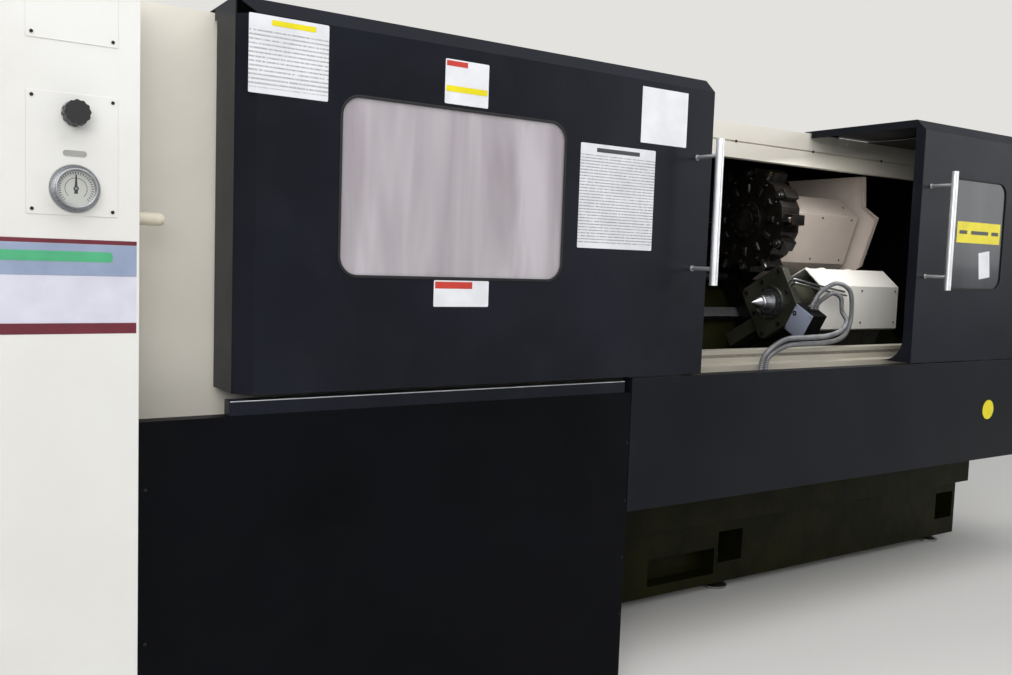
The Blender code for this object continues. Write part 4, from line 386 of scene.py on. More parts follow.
@dataclass(frozen=True)
class DialFace(Finish):
    """White gauge dial with a ring of ticks printed round its centre."""

    centre: Point = (0.0, 0.0, 0.0)
    radius: float = 0.042

    def material(self) -> bpy.types.Material:
        """Ticks every nine degrees over three quarters of a turn, with a thin inner ring."""
        paint = Paint(self)
        moved = paint.node("VectorMath", {0: paint.place, 1: self.centre}, operation="SUBTRACT").outputs[0]
        axes = paint.node("SeparateXYZ", {"Vector": moved}).outputs
        flat = paint.node("CombineXYZ", {"X": axes["X"], "Y": axes["Z"]}).outputs[0]
        reach = paint.node("VectorMath", {0: flat}, operation="LENGTH").outputs["Value"]
        angle = paint.calc("ARCTAN2", axes["X"], axes["Z"])
        beat = paint.calc("FRACT", paint.calc("MULTIPLY", angle, 40 / math.tau))
        used = paint.calc("LESS_THAN", paint.calc("ABSOLUTE", angle), math.radians(137))
        ticks = paint.every(paint.calc("GREATER_THAN", beat, 0.72), used,
                            paint.between(reach, self.radius * 0.80, self.radius * 0.93))
        ring = paint.every(paint.calc("COMPARE", reach, self.radius * 0.58, self.radius * 0.015), used)
        ink = paint.mix(paint.calc("MAXIMUM", ticks, ring), linear(self.colour), linear(self.shade))
        return paint.done({"Base Color": ink, "Roughness": self.roughness})


@dataclass(frozen=True)
class ClearGlass(Finish):
    """Clear glass or acrylic with a bright polish."""

    def material(self) -> bpy.types.Material:
        """Glass that passes light, with a breath of haze."""
        paint = Paint(self)
        return paint.done({"Base Color": linear(self.colour), "Roughness": paint.gloss(paint.noise(120.0, 3.0), 0.02),
                           "Transmission Weight": 1.0, "IOR": 1.45})


# Sheet covers: broad, nearly black faces that take a soft sheen, and cream ones that show dust.
CHARCOAL = PowderCoat("charcoal_powder_coat", "#191b23", "#13151b", 0.38, peel_mm=6.0, peel_depth_mm=0.30,
                      dust=0.05, dust_colour="#404146", shine=0.12)
# Darker copy of the charcoal coat: painted shade on the low front panel; its dust is real dust.
SHADED_LOWER_CHARCOAL = PowderCoat("lower_panel_painted_shade_coat", "#0b0c10", "#07080b", 0.44, peel_mm=6.0, dust=0.04,
                            dust_colour="#2c2c2a", shine=0.05)
APRON_CHARCOAL = PowderCoat("apron_charcoal_coat", "#14161c", "#0f1116", 0.40, peel_mm=5.0, dust=0.05,
                            dust_colour="#34363b", shine=0.12)
CREAM = PowderCoat("cream_powder_coat", "#e3dfd3", "#dad5c8", 0.42, peel_mm=5.0, peel_depth_mm=0.15, dust=0.06,
                   dust_colour="#a89c84")
WHITE = PowderCoat("white_enamel", "#e2e2de", "#dbdad5", 0.34, peel_mm=5.0, peel_depth_mm=0.12, dust=0.04,
                   dust_colour="#b5b0a4")
# Lighter copy of the white enamel: painted light on the tailstock cover, which its band and domes don't share.
LIT_TAIL_WHITE = PowderCoat("tailstock_cover_painted_light_enamel", "#e9e7e1", "#dfdcd5", 0.36, peel_mm=5.0, peel_depth_mm=0.12,
                        dust=0.05, dust_colour="#b5b0a4")
# Darker copy of the cream coat: painted shade on the sill under the opening; the dust on it is real dust.
SHADED_SILL_CREAM = PowderCoat("sill_painted_shade_cream_coat", "#aea99c", "#a39e90", 0.45, peel_mm=6.0, peel_depth_mm=0.15, dust=0.10,
                        dust_colour="#7d776a")
# Darker copy of the cream coat: painted shade on the covers within the working space; the dust on it is real dust.
SHADED_COVER_CREAM = PowderCoat("turret_cover_painted_shade_coat", "#b9aea6", "#a89d95", 0.42, peel_mm=5.0, peel_depth_mm=0.15,
                         dust=0.12, dust_colour="#77705f")
# Cream coats with near black painted shade on the faces within each inner box.
SHELL = PaintedShadeInside("cream_shell_painted_shade_within", "#e0dbce", "#d6d0c1", 0.45)
RIGHT_GUARD = PaintedShadeInside("right_guard_painted_shade_within", "#e3dfd3", "#dad5c8", 0.45, low=(-3.0, -0.6725, 0.0),
                        high=(2.5985, 1.0, 2.0885))
LEFT_GUARD = PaintedShadeInside("left_guard_painted_shade_within", "#e3dfd3", "#dad5c8", 0.45, low=(-3.0, -0.6725, 0.0),
                       high=(-0.637, 1.0, 2.0885))
# Castings: heavy, uneven paint that tells them from the flat sheet.
CASTING = PaintedCasting("base_casting_paint", "#1d1d09", "#121206", 0.40, shine=0.06)
OLIVE_CASTING = PaintedCasting("tailstock_casting_paint", "#34342a", "#22221a", 0.40, wave_mm=40.0, shine=0.4)
# Bare metal: bright lines and points against the dark covers.
GROUND = BareMetal("ground_steel", "#b4b5b7", "#9b9c9f", 0.34)
OILED = BareMetal("oiled_rail_steel", "#7c7d80", "#67686b", 0.46)
TURNED = BareMetal("turned_steel", "#b9babc", "#98999c", 0.28, way=Way.Y, grain_mm=1.6)
BAR = BareMetal("brushed_bar_aluminium", "#f4f5f6", "#e4e6e8", 0.46, way=Way.Z, grain_mm=1.0)
RAIL = BareMetal("drawn_rail_aluminium", "#dfe1e3", "#c6c9cc", 0.30, way=Way.X, grain_mm=1.0)
CARBIDE = BareMetal("coated_carbide", "#b8913c", "#8f6d28", 0.30, grain_mm=2.0)
OXIDE = BlackOxide("black_oxide_steel", "#1c1713", "#0c0a09", 0.42)
OXIDE_BOLT = BlackOxide("black_oxide_bolt", "#2a2725", "#161412", 0.35)
# Small covers, plastics and rubber: dull next to the metal, the caps glossy.
ENAMEL_GREY = PowderCoat("light_grey_enamel", "#9aa3b4", "#8a93a4", 0.38, peel_mm=3.0, peel_depth_mm=0.1)
BOX_PLATE = PowderCoat("terminal_plate_coat", "#8f97a8", "#828a9b", 0.36, peel_mm=3.0, peel_depth_mm=0.1)
BOX_BLACK = PowderCoat("terminal_box_black_coat", "#0c0c0e", "#070708", 0.50, peel_mm=4.0, peel_depth_mm=0.1,
                       dust=0.03, dust_colour="#2a2a2a", shine=0.08)
BLACK_PLASTIC = Moulded("black_moulded_plastic", "#1b1b1c", "#131314", 0.48)
RUBBER = Moulded("black_rubber", "#191919", "#101010", 0.78, grain_mm=2.5, grain_depth_mm=0.15)
CREAM_RUBBER = Moulded("cream_rubber", "#ddd6c3", "#cbc3ad", 0.60)
KEY_PLASTIC = Moulded("dark_key_plastic", "#3c3e43", "#333539", 0.45)
YELLOW_RING = Moulded("yellow_ring_plastic", "#d9bf12", "#cbb20f", 0.42)
RED_CAP = Moulded("red_button_cap", "#b51616", "#a01212", 0.30, coat=0.4)
GREEN_CAP = Moulded("green_button_cap", "#1c7a3a", "#166330", 0.30, coat=0.4)
SCREEN_GLASS = Moulded("dark_screen_glass", "#10161c", "#0b0f14", 0.10, grain_depth_mm=0.0, coat=1.0)
CONDUIT_GREY = Moulded("grey_conduit_sheath", "#7c7d7f", "#5f6062", 0.30, grain_mm=3.0, coat=0.3)
# Door panes: one pale under its film, one near-opaque dark grey whose colour is painted shade of the space behind it.
MILKY_PANE = FilmedPane("milky_door_pane", "#c6c0c5", "#a39ba0", 0.20)
# Dark grey base colour: painted shade of the shaded working space seen through the pane.
SHADED_PANE = FilmedPane("painted_shade_door_pane", "#3c4045", "#25282d", 0.22, milky=0.93, reflection_fold_mm=240.0, coat=0.12,
                        shine=0.25)


class Bench:
    """Modelling steps that every sub-assembly uses."""

    @staticmethod
    def clear() -> None:
        """Leave edit mode and select nothing."""
        if bpy.context.mode != "OBJECT":
            bpy.ops.object.mode_set(mode="OBJECT")
        bpy.ops.object.select_all(action="DESELECT")

    @staticmethod
    def activate(obj: Obj) -> None:
        """Select one object alone and make it active."""
        Bench.clear()
        obj.select_set(True)
        bpy.context.view_layer.objects.active = obj

    @staticmethod
    def settle(name: str) -> Obj:
        """Put a new primitive's place, turn and size into its mesh, and name it."""
        bpy.ops.object.transform_apply(location=True, rotation=True, scale=True)
        bpy.context.object.name = name
        return bpy.context.object

    @staticmethod
    def bring(name: str, data: bpy.types.ID) -> Obj:
        """New object of the scene for a lamp, a camera or a curve."""
        obj = bpy.data.objects.new(name, data)
        bpy.context.scene.collection.objects.link(obj)
        return obj

    @staticmethod
    def block(name: str, low: Sequence[float], high: Sequence[float]) -> Obj:
        """Cube primitive stretched between two corners.

        Args:
            name: Piece name.
            low: Lowest corner in metres.
            high: Highest corner in metres.

        Returns:
            The block with its place in its mesh.
        """
        Bench.clear()
        bpy.ops.mesh.primitive_cube_add(size=1.0, location=[(a + b) / 2 for a, b in zip(low, high)])
        bpy.context.object.scale = [b - a for a, b in zip(low, high)]
        return Bench.settle(name)

    @staticmethod
    def drum(name: str, start: Point, end: Point, radius: float, sides: int = 24) -> Obj:
        """Cylinder primitive between two points, with its place in its mesh."""
        Bench.clear()
        way = Vector(end) - Vector(start)
        bpy.ops.mesh.primitive_cylinder_add(vertices=sides, radius=radius, depth=way.length,
                                            location=(Vector(start) + Vector(end)) / 2,
                                            rotation=Vector((0, 0, 1)).rotation_difference(way).to_euler())
        return Bench.settle(name)

    @staticmethod
    def pick(obj: Obj, kind: str, wanted: Callable[[Vector, Vector], bool]) -> None:
        """Enter edit mode with only the wanted faces or edges selected.

        Args:
            obj: Mesh object.
            kind: "FACE" or "EDGE".
            wanted: Test of a face's centre and normal, or of an edge's two ends.
        """
        Bench.activate(obj)
        bpy.context.tool_settings.mesh_select_mode = (False, kind == "EDGE", kind == "FACE")
        bpy.ops.object.mode_set(mode="EDIT")
        bpy.ops.mesh.select_all(action="DESELECT")
        bpy.ops.object.mode_set(mode="OBJECT")
        if kind == "FACE":
            for face in obj.data.polygons:
                face.select = wanted(face.center, face.normal)
        else:
            for edge in obj.data.edges:
                edge.select = wanted(*(obj.data.vertices[i].co for i in edge.vertices))
        bpy.ops.object.mode_set(mode="EDIT")

    @staticmethod
    def inset(obj: Obj, way: Point, thickness: float, depth: float) -> Obj:
        """Inset the faces that look along a way, and raise or sink them."""
        Bench.pick(obj, "FACE", lambda c, n: n.dot(Vector(way)) > 0.93)
        bpy.ops.mesh.inset(thickness=thickness, depth=depth)
        bpy.ops.object.mode_set(mode="OBJECT")
        return obj

    @staticmethod
    def squeeze(obj: Obj, way: Point, value: Point, centre: Point) -> Obj:
        """Resize the faces that look along a way about a point."""
        Bench.pick(obj, "FACE", lambda c, n: n.dot(Vector(way)) > 0.6)
        bpy.ops.transform.resize(value=value, center_override=centre)
        bpy.ops.object.mode_set(mode="OBJECT")
        return obj

    @staticmethod
    def round_corners(obj: Obj, radius: float, segments: int) -> Obj:
        """Round the four edges that run from front to back."""
        Bench.pick(obj, "EDGE", lambda a, b: abs(a.x - b.x) < TOUCH and abs(a.z - b.z) < TOUCH)
        bpy.ops.mesh.bevel(offset=radius, segments=segments, affect="EDGES")
        bpy.ops.object.mode_set(mode="OBJECT")
        return obj

    @staticmethod
    def modify(obj: Obj, kind: str, **settings: object) -> Obj:
        """Add a modifier with its settings, and apply it."""
        Bench.activate(obj)
        step = obj.modifiers.new(kind.lower(), kind)
        for name, value in settings.items():
            setattr(step, name, value)
        bpy.ops.object.modifier_apply(modifier=step.name)
        return obj

    @staticmethod
    def soften(obj: Obj, width: float, segments: int = 1, angle: float = 50.0) -> Obj:
        """Round the sharp edges with a bevel that is then applied."""
        Bench.modify(obj, "BEVEL", width=width, segments=segments, limit_method="ANGLE",
                     angle_limit=math.radians(angle))
        bpy.ops.object.shade_smooth_by_angle(angle=math.radians(30))
        return obj

    @staticmethod
    def weigh_normals(obj: Obj) -> Obj:
        """Let the large faces set the shading, so that a flat sheet looks flat up to its rounded edge."""
        Bench.modify(obj, "WEIGHTED_NORMAL", mode="FACE_AREA", weight=100, keep_sharp=True)
        mesh = bmesh.new()
        mesh.from_mesh(obj.data)
        broad = [face.calc_area() > BROAD_FACE * max(edge.calc_length() for edge in face.edges) for face in mesh.faces]
        # A broad face that meets another at a blunt angle is part of a curve and keeps its smooth shading.
        flat = [broad[face.index] and not any(
            broad[other.index] and 0.02 < face.normal.angle(other.normal, 0.0) < 0.5
            for edge in face.edges for other in edge.link_faces if other is not face) for face in mesh.faces]
        mesh.free()
        normals = [Vector(corner.vector) for corner in obj.data.corner_normals]
        for face in obj.data.polygons:
            if flat[face.index]:
                for corner in face.loop_indices:
                    normals[corner] = Vector(face.normal)
        obj.data.normals_split_custom_set(normals)
        return obj

    @staticmethod
    def cut(obj: Obj, tools: Sequence[Obj]) -> Obj:
        """Cut each tool out of the object and throw the tools away."""
        for tool in tools:
            Bench.modify(obj, "BOOLEAN", operation="DIFFERENCE", solver="EXACT", object=tool)
            bpy.data.objects.remove(tool, do_unlink=True)
        return obj

    @staticmethod
    def join(name: str, pieces: Sequence[Obj]) -> Obj:
        """Join several shapes into one piece."""
        Bench.clear()
        for piece in pieces:
            piece.select_set(True)
        bpy.context.view_layer.objects.active = pieces[0]
        bpy.ops.object.join()
        bpy.context.object.name = name
        return bpy.context.object

    @staticmethod
    def copy(obj: Obj, name: str, shift: Sequence[float]) -> Obj:
        """Copy a piece with its own mesh to another place."""
        twin = obj.copy()
        twin.data = obj.data.copy()
        twin.data.transform(Matrix.Translation(Vector(shift)))
        twin.name = name
        bpy.context.scene.collection.objects.link(twin)
        return twin

    @staticmethod
    def free_copy(node: Obj, name: str) -> Obj:
        """Copy a CAD node without its parent, with its place in its mesh."""
        twin = Bench.copy(node, name, (0, 0, 0))
        twin.data.transform(node.matrix_world)
        twin.parent = None
        twin.matrix_world = Matrix.Identity(4)
        return twin

    @staticmethod
    def turn(obj: Obj, degrees: float, axis: str, centre: Point) -> Obj:
        """Turn a piece about a point, in its mesh."""
        middle = Matrix.Translation(Vector(centre))
        obj.data.transform(middle @ Matrix.Rotation(math.radians(degrees), 4, axis) @ middle.inverted())
        return obj

    @staticmethod
    def ring(name: str, start: Point, end: Point, outer: float, inner: float, sides: int = 40,
             rim: float = 0.0008) -> Obj:
        """Turned ring with softened rims."""
        way = (Vector(end) - Vector(start)) * 0.5
        made = Bench.drum(name, start, end, outer, sides)
        Bench.cut(made, [Bench.drum("hole", Vector(start) - way, Vector(end) + way, inner, sides)])
        return Bench.soften(made, rim, 2)

    @staticmethod
    def plate(name: str, low: Sequence[float], high: Sequence[float], corner: float = 0.0,
              rim: float = 0.0004) -> Obj:
        """Thin plate that faces -Y, with rounded corners and a soft rim."""
        obj = Bench.block(name, low, high)
        if corner:
            Bench.round_corners(obj, corner, 5)
        if rim:
            Bench.soften(obj, rim, 1, 60.0)
        return obj

    @staticmethod
    def folded(name: str, path: Sequence[tuple[float, float]], x0: float, x1: float, thick: float) -> Obj:
        """Strip of sheet between two lengths, folded along a path of (y, z) points.

        Args:
            name: Piece name.
            path: Points that the strip's inner face follows.
            x0: Left end.
            x1: Right end.
            thick: Thickness, to the left of the path's way as seen from +X.

        Returns:
            The strip.
        """
        Bench.clear()
        bpy.ops.mesh.primitive_plane_add(size=1.0)
        obj = bpy.context.object
        (ya, za), (yb, zb) = path[:2]
        for spot, place in zip(obj.data.vertices, ((x0, ya, za), (x1, ya, za), (x0, yb, zb), (x1, yb, zb))):
            spot.co = place
        for (ya, za), (yb, zb) in zip(path[1:], path[2:]):
            here = Vector((ya, za))
            Bench.pick(obj, "EDGE", lambda a, b: (a.yz - here).length < TOUCH and (b.yz - here).length < TOUCH)
            bpy.ops.mesh.extrude_region_move(TRANSFORM_OT_translate={"value": (0, yb - ya, zb - za)})
            bpy.ops.object.mode_set(mode="OBJECT")
        obj.name = name
        return Bench.modify(obj, "SOLIDIFY", thickness=thick, offset=1.0, use_even_offset=True)

    @staticmethod
    def swept(name: str, kind: str, spots: Sequence[tuple[Point, float]], radius: float,
              angle: float) -> Obj:
        """Round bar swept along points, turned into a mesh.

        Args:
            name: Piece name.
            kind: "POLY" for straight legs, "NURBS" for a smooth line.
            spots: Points, each with its share of the radius.
            radius: Full radius.
            angle: Degrees up to which neighbouring faces look smooth.

        Returns:
            The bar.
        """
        curve = bpy.data.curves.new(name, "CURVE")
        curve.dimensions = "3D"
        curve.bevel_depth = radius
        curve.bevel_resolution = 3
        curve.use_fill_caps = True
        curve.resolution_u = 8
        spline = curve.splines.new(kind)
        spline.points.add(len(spots) - 1)
        for knot, (place, share) in zip(spline.points, spots):
            knot.co = (*place, 1.0)
            knot.radius = share
        if kind == "NURBS":
            spline.use_endpoint_u = True
            spline.order_u = 4
        Bench.activate(Bench.bring(name, curve))
        bpy.ops.object.convert(target="MESH")
        bpy.ops.object.shade_smooth_by_angle(angle=math.radians(angle))
        bpy.context.object.name = name
        return bpy.context.object

    @staticmethod
    def ribbed(name: str, points: Sequence[Point], radius: float, rib: float, depth: float) -> Obj:
        """Corrugated hose through points: a smooth line with a crest and a hollow on every rib.

        Args:
            name: Piece name.
            points: Points of the centreline, close together.
            radius: Radius over the crests.
            rib: Length of one rib along the line.
            depth: Depth of the hollows.

        Returns:
            The hose as a mesh.
        """
        ways = [Vector(place) for place in points]
        reach = [0.0]
        for before, after in zip(ways, ways[1:]):
            reach.append(reach[-1] + (after - before).length)
        count = int(reach[-1] / rib * 2)
        spots, leg = [], 0
        for number in range(count + 1):
            along = reach[-1] * number / count
            while leg < len(ways) - 2 and reach[leg + 1] < along:
                leg += 1
            share = (along - reach[leg]) / (reach[leg + 1] - reach[leg])
            spots.append((ways[leg].lerp(ways[leg + 1], share), 1.0 - depth / radius * (number % 2)))
        return Bench.swept(name, "POLY", spots, radius, 50)


class Dresser:
    """Hands out finishes and fastens pieces to the bodies that carry them."""

    def __init__(self, frame: dict) -> None:
        self.nodes = frame["nodes"]
        self.made: dict[str, bpy.types.Material] = {}
        self.worn: dict[str, Finish] = {}

    def wear(self, obj: Obj, finish: Finish) -> None:
        """Give an object its finish, whose material is made on first use."""
        if finish.name not in self.made:
            self.made[finish.name] = finish.material()
        obj.data.materials.clear()
        obj.data.materials.append(self.made[finish.name])

    def node(self, name: str, finish: Finish) -> None:
        """Give a carried-over node its finish."""
        self.worn[name] = finish
        self.wear(self.nodes[name], finish)
        LOG.info("node %s is %s", name, finish.name)

    def fit(self, obj: Obj, body: str, finish: Finish, slot: str) -> Obj:
        """Give a new piece its finish and its body.

        Args:
            obj: The finished piece.
            body: Body that carries it.
            finish: Surface finish.
            slot: Not used.

        Returns:
            The same piece.
        """
        self.wear(obj, finish)
        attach(obj, body)
        LOG.info("piece %s rides on %s", obj.name, body)
        return obj


@dataclass
class ScrewKit:
    """Button-head screws with a hexagon socket, modelled once for each way they face."""

    dresser: Dresser
    radius: float = 0.0055
    height: float = 0.0026
    socket: float = 0.0024
    patterns: dict = field(default_factory=dict)
    count: int = 0

    def pattern(self, way: Point, scale: float) -> Obj:
        """Screw head at the origin that looks along a way."""
        key = (way, scale)
        if key not in self.patterns:
            top = Vector(way) * self.height * scale
            head = Bench.drum("screw_pattern", (0, 0, 0), tuple(top), self.radius * scale, 16)
            Bench.pick(head, "FACE", lambda c, n: n.dot(Vector(way)) > 0.9)
            bpy.ops.mesh.inset(thickness=(self.radius - self.socket) * scale, depth=0)
            bpy.ops.mesh.extrude_region_move(TRANSFORM_OT_translate={"value": tuple(-top * 0.7)})
            bpy.ops.object.mode_set(mode="OBJECT")
            self.patterns[key] = Bench.soften(head, 0.0006 * scale, 2, 60.0)
        return self.patterns[key]

    def set(self, places: Sequence[Point], way: Point, body: str, group: str, scale: float = 1.0,
            finish: Finish = OXIDE_BOLT, slot: str = "black_steel") -> None:
        """Copy the screw to each place.

        Args:
            places: Where each head's seat is.
            way: Direction that the heads look.
            body: Body that carries them.
            group: Word that starts their names.
            scale: Size against the standard head.
            finish: Surface finish.
            slot: Not used; passed on to Dresser.fit, which ignores it.
        """
        pattern = self.pattern(way, scale)
        for place in places:
            self.count += 1
            self.dresser.fit(Bench.copy(pattern, f"{group}_screw_{self.count}", place), body, finish, slot)

    def put_away(self) -> None:
        """Remove the patterns that the copies were made from."""
        for pattern in self.patterns.values():
            bpy.data.objects.remove(pattern, do_unlink=True)
        self.patterns.clear()


@dataclass
class Studio:
    """Camera at the photograph's angle, a pale floor and soft lamps."""

    place: Point = (-2.65, -3.354, 1.45)
    yaw: float = 33.587
    pitch: float = 4.558
    roll: float = 2.005
    focal_px: float = 966.0
    width_px: float = 1012.0

    def camera(self) -> None:
        """Set the camera where the photograph was taken from."""
        (cy, sy), (cp, sp), (cr, sr) = ((math.cos(math.radians(turn)), math.sin(math.radians(turn)))
                                        for turn in (self.yaw, self.pitch, self.roll))
        right, ahead, up = Vector((cy, -sy, 0)), Vector((sy, cy, 0)), Vector((0, 0, 1))
        look = ahead * cp - up * sp
        top = up * cp + ahead * sp
        data = bpy.data.cameras.new("photo_camera")
        data.sensor_width = 36.0
        data.lens = self.focal_px / self.width_px * data.sensor_width
        camera = Bench.bring("photo_camera", data)
        turn = Matrix((right * cr + top * sr, top * cr - right * sr, -look)).transposed().to_4x4()
        camera.matrix_world = Matrix.Translation(self.place) @ turn
        bpy.context.scene.camera = camera

    def floor(self) -> None:
        """Pale matt floor that takes the shadow."""
        Bench.clear()
        bpy.ops.mesh.primitive_plane_add(size=40.0, location=(0, 0, -0.0005))
        floor = bpy.context.object
        floor.name = "studio_floor"
        made = bpy.data.materials.new("studio_floor_paint")
        made.use_nodes = True
        shader = made.node_tree.nodes["Principled BSDF"]
        shader.inputs["Base Color"].default_value = linear("#d9d8d4")
        shader.inputs["Roughness"].default_value = 0.8
        floor.data.materials.append(made)

    def lights(self) -> None:
        """Skylight from above and behind the camera, weak fills, a short lamp in the opening, and a pale world."""
        for name, place, target, size, watts, tint in (
                ("roof_light", (-1.0, -3.3, 6.2), (0, -0.3, 1.0), (9.0, 4.0), 300, "#fdfcff"),
                ("front_light", (-5.0, -7.0, 4.0), (-0.5, -0.5, 1.2), (5.0, 3.5), 265, "#ffffff"),
                ("right_fill", (6.0, -5.0, 3.0), (1.0, -0.3, 1.2), (4.0, 3.0), 100, "#ffffff"),
                ("opening_light", (0.99, -0.60, 1.90), (1.08, -0.44, 1.30), (0.74, 0.22), 4.2, "#fffdf8"),
                ("back_fill", (1.0, 7.0, 4.5), (0, 0.5, 1.2), (7.0, 3.5), 225, "#ffffff")):
            data = bpy.data.lights.new(name, "AREA")
            data.shape = "RECTANGLE"
            data.size, data.size_y = size
            data.energy = watts
            data.color = linear(tint)[:3]
            lamp = Bench.bring(name, data)
            lamp.location = place
            lamp.rotation_euler = (Vector(target) - Vector(place)).to_track_quat("-Z", "Y").to_euler()
            lamp.visible_camera = False
        world = bpy.data.worlds.new("studio_world")
        bpy.context.scene.world = world
        world.use_nodes = True
        world.node_tree.nodes.clear()
        graph = Graph(world.node_tree)
        ray = graph.node("LightPath").outputs
        through = graph.calc("MAXIMUM", ray["Is Camera Ray"], ray["Is Transmission Ray"])
        shown, light, mirrored = (
            graph.node("Background", {"Color": linear(tint), "Strength": strength}).outputs[0]
            for tint, strength in (("#e3e2df", 1.0), ("#eef0f4", 0.30), ("#eef0f4", 0.50)))
        glossy = graph.node("MixShader", {0: ray["Is Glossy Ray"], 1: light, 2: mirrored}).outputs[0]
        mix = graph.node("MixShader", {0: through, 1: glossy, 2: shown}).outputs[0]
        graph.node("OutputWorld", {"Surface": mix})

    def build(self) -> None:
        """Camera first, then floor and light."""
        self.camera()
        self.floor()
        self.lights()
        bpy.context.scene.view_settings.view_transform = "Standard"


@dataclass
class Trim:
    """What every group of fittings works with."""

    dresser: Dresser
    screws: ScrewKit

    def fit(self, obj: Obj, body: str, finish: Finish, slot: str) -> Obj:
        """Shorthand for Dresser.fit."""
        return self.dresser.fit(obj, body, finish, slot)


class NodeFinishes(Trim):
    """Finish of every CAD node, which a rounded copy takes over where Casework makes one."""

    def build(self) -> None:
        """Dress each node."""
        feet = " ".join(f"levelling_foot_{number}" for number in range(1, 7))
        for finish, names in (
                (CASTING, "bed_base slant_bed headstock"), (OILED, "carriage_rail_1 carriage_rail_2 z_ballscrew"),
                (GROUND, f"{feet} chuck_jaw_1 chuck_jaw_2 chuck_jaw_3 quill centre_housing live_centre"),
                (TURNED, "spindle chuck_body pressure_gauge"), (ENAMEL_GREY, "main_motor"),
                (OXIDE, "motor_pulley carriage_saddle cross_slide turret_housing turret_disc"),
                (RUBBER, "drive_belt"), (LEFT_GUARD, "headstock_guard"), (RIGHT_GUARD, "right_guard"),
                (WHITE, "left_cabinet"), (BLACK_PLASTIC, "tailstock_cable_chain gauge_needle regulator_knob handwheel"),
                (CREAM_RUBBER, "door_buffer"), (SHADED_LOWER_CHARCOAL, "lower_left_panel"), (APRON_CHARCOAL, "apron_panel"),
                (CHARCOAL, "door_guide_strip left_door right_door operator_console"),
                (CREAM, "header_beam electrical_cabinet electrical_cabinet_door"), (SHELL, "rear_enclosure"),
                (SHADED_SILL_CREAM, "chip_tray"), (MILKY_PANE, "left_door_window"), (SHADED_PANE, "right_door_window"),
                (BAR, "left_door_handle right_door_handle"), (SHADED_COVER_CREAM, "carriage_end_cover turret_cover"),
                (OLIVE_CASTING, "tailstock_body"), (LIT_TAIL_WHITE, "tailstock_cover"), (BOX_BLACK, "terminal_box"),
                (CONDUIT_GREY, "conduit_1 conduit_2"), (RED_CAP, "emergency_stop"), (GREEN_CAP, "cycle_start_button")):
            for name in names.split():
                self.dresser.node(name, finish)


class Casework(Trim):
    """Sheet parts and castings whose edges are rounded, on merged copies of their CAD shapes."""

    def build(self) -> None:
        """Round each one on a copy, which then stands for the node."""
        for node, body, slot, width in (
                ("left_door", "left_door_unit", "charcoal", 0.0012),
                ("right_door", "right_door_unit", "charcoal", 0.0012),
                ("apron_panel", "frame", "charcoal", 0.0012), ("lower_left_panel", "frame", "dark_panel", 0.0012),
                ("door_guide_strip", "frame", "charcoal", 0.0010), ("left_cabinet", "frame", "white", 0.0012),
                ("header_beam", "frame", "cream", 0.0015), ("turret_cover", "cross_slide_unit", "cream", 0.0012),
                ("carriage_end_cover", "carriage", "cream", 0.0012), ("tailstock_cover", "tailstock", "cream", 0.0012),
                ("tailstock_body", "tailstock", "olive", 0.0030), ("bed_base", "frame", "cast_dark", 0.0040),
                ("terminal_box", "tailstock", "grey", 0.0020), ("operator_console", "frame", "charcoal", 0.0008),
                ("turret_disc", "turret", "black_steel", 0.0012), ("chip_tray", "frame", "cream", 0.0010)):
            twin = Bench.free_copy(self.dresser.nodes[node], f"{node}_rounded")
            Bench.activate(twin)
            bpy.ops.object.mode_set(mode="EDIT")
            bpy.ops.mesh.select_all(action="SELECT")
            bpy.ops.mesh.remove_doubles(threshold=0.00002)
            bpy.ops.mesh.dissolve_limited(angle_limit=math.radians(0.5))
            bpy.ops.object.mode_set(mode="OBJECT")
            Bench.weigh_normals(Bench.soften(twin, width, 2, 32.0))
            self.fit(twin, body, self.dresser.worn[node], slot)
            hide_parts(node)


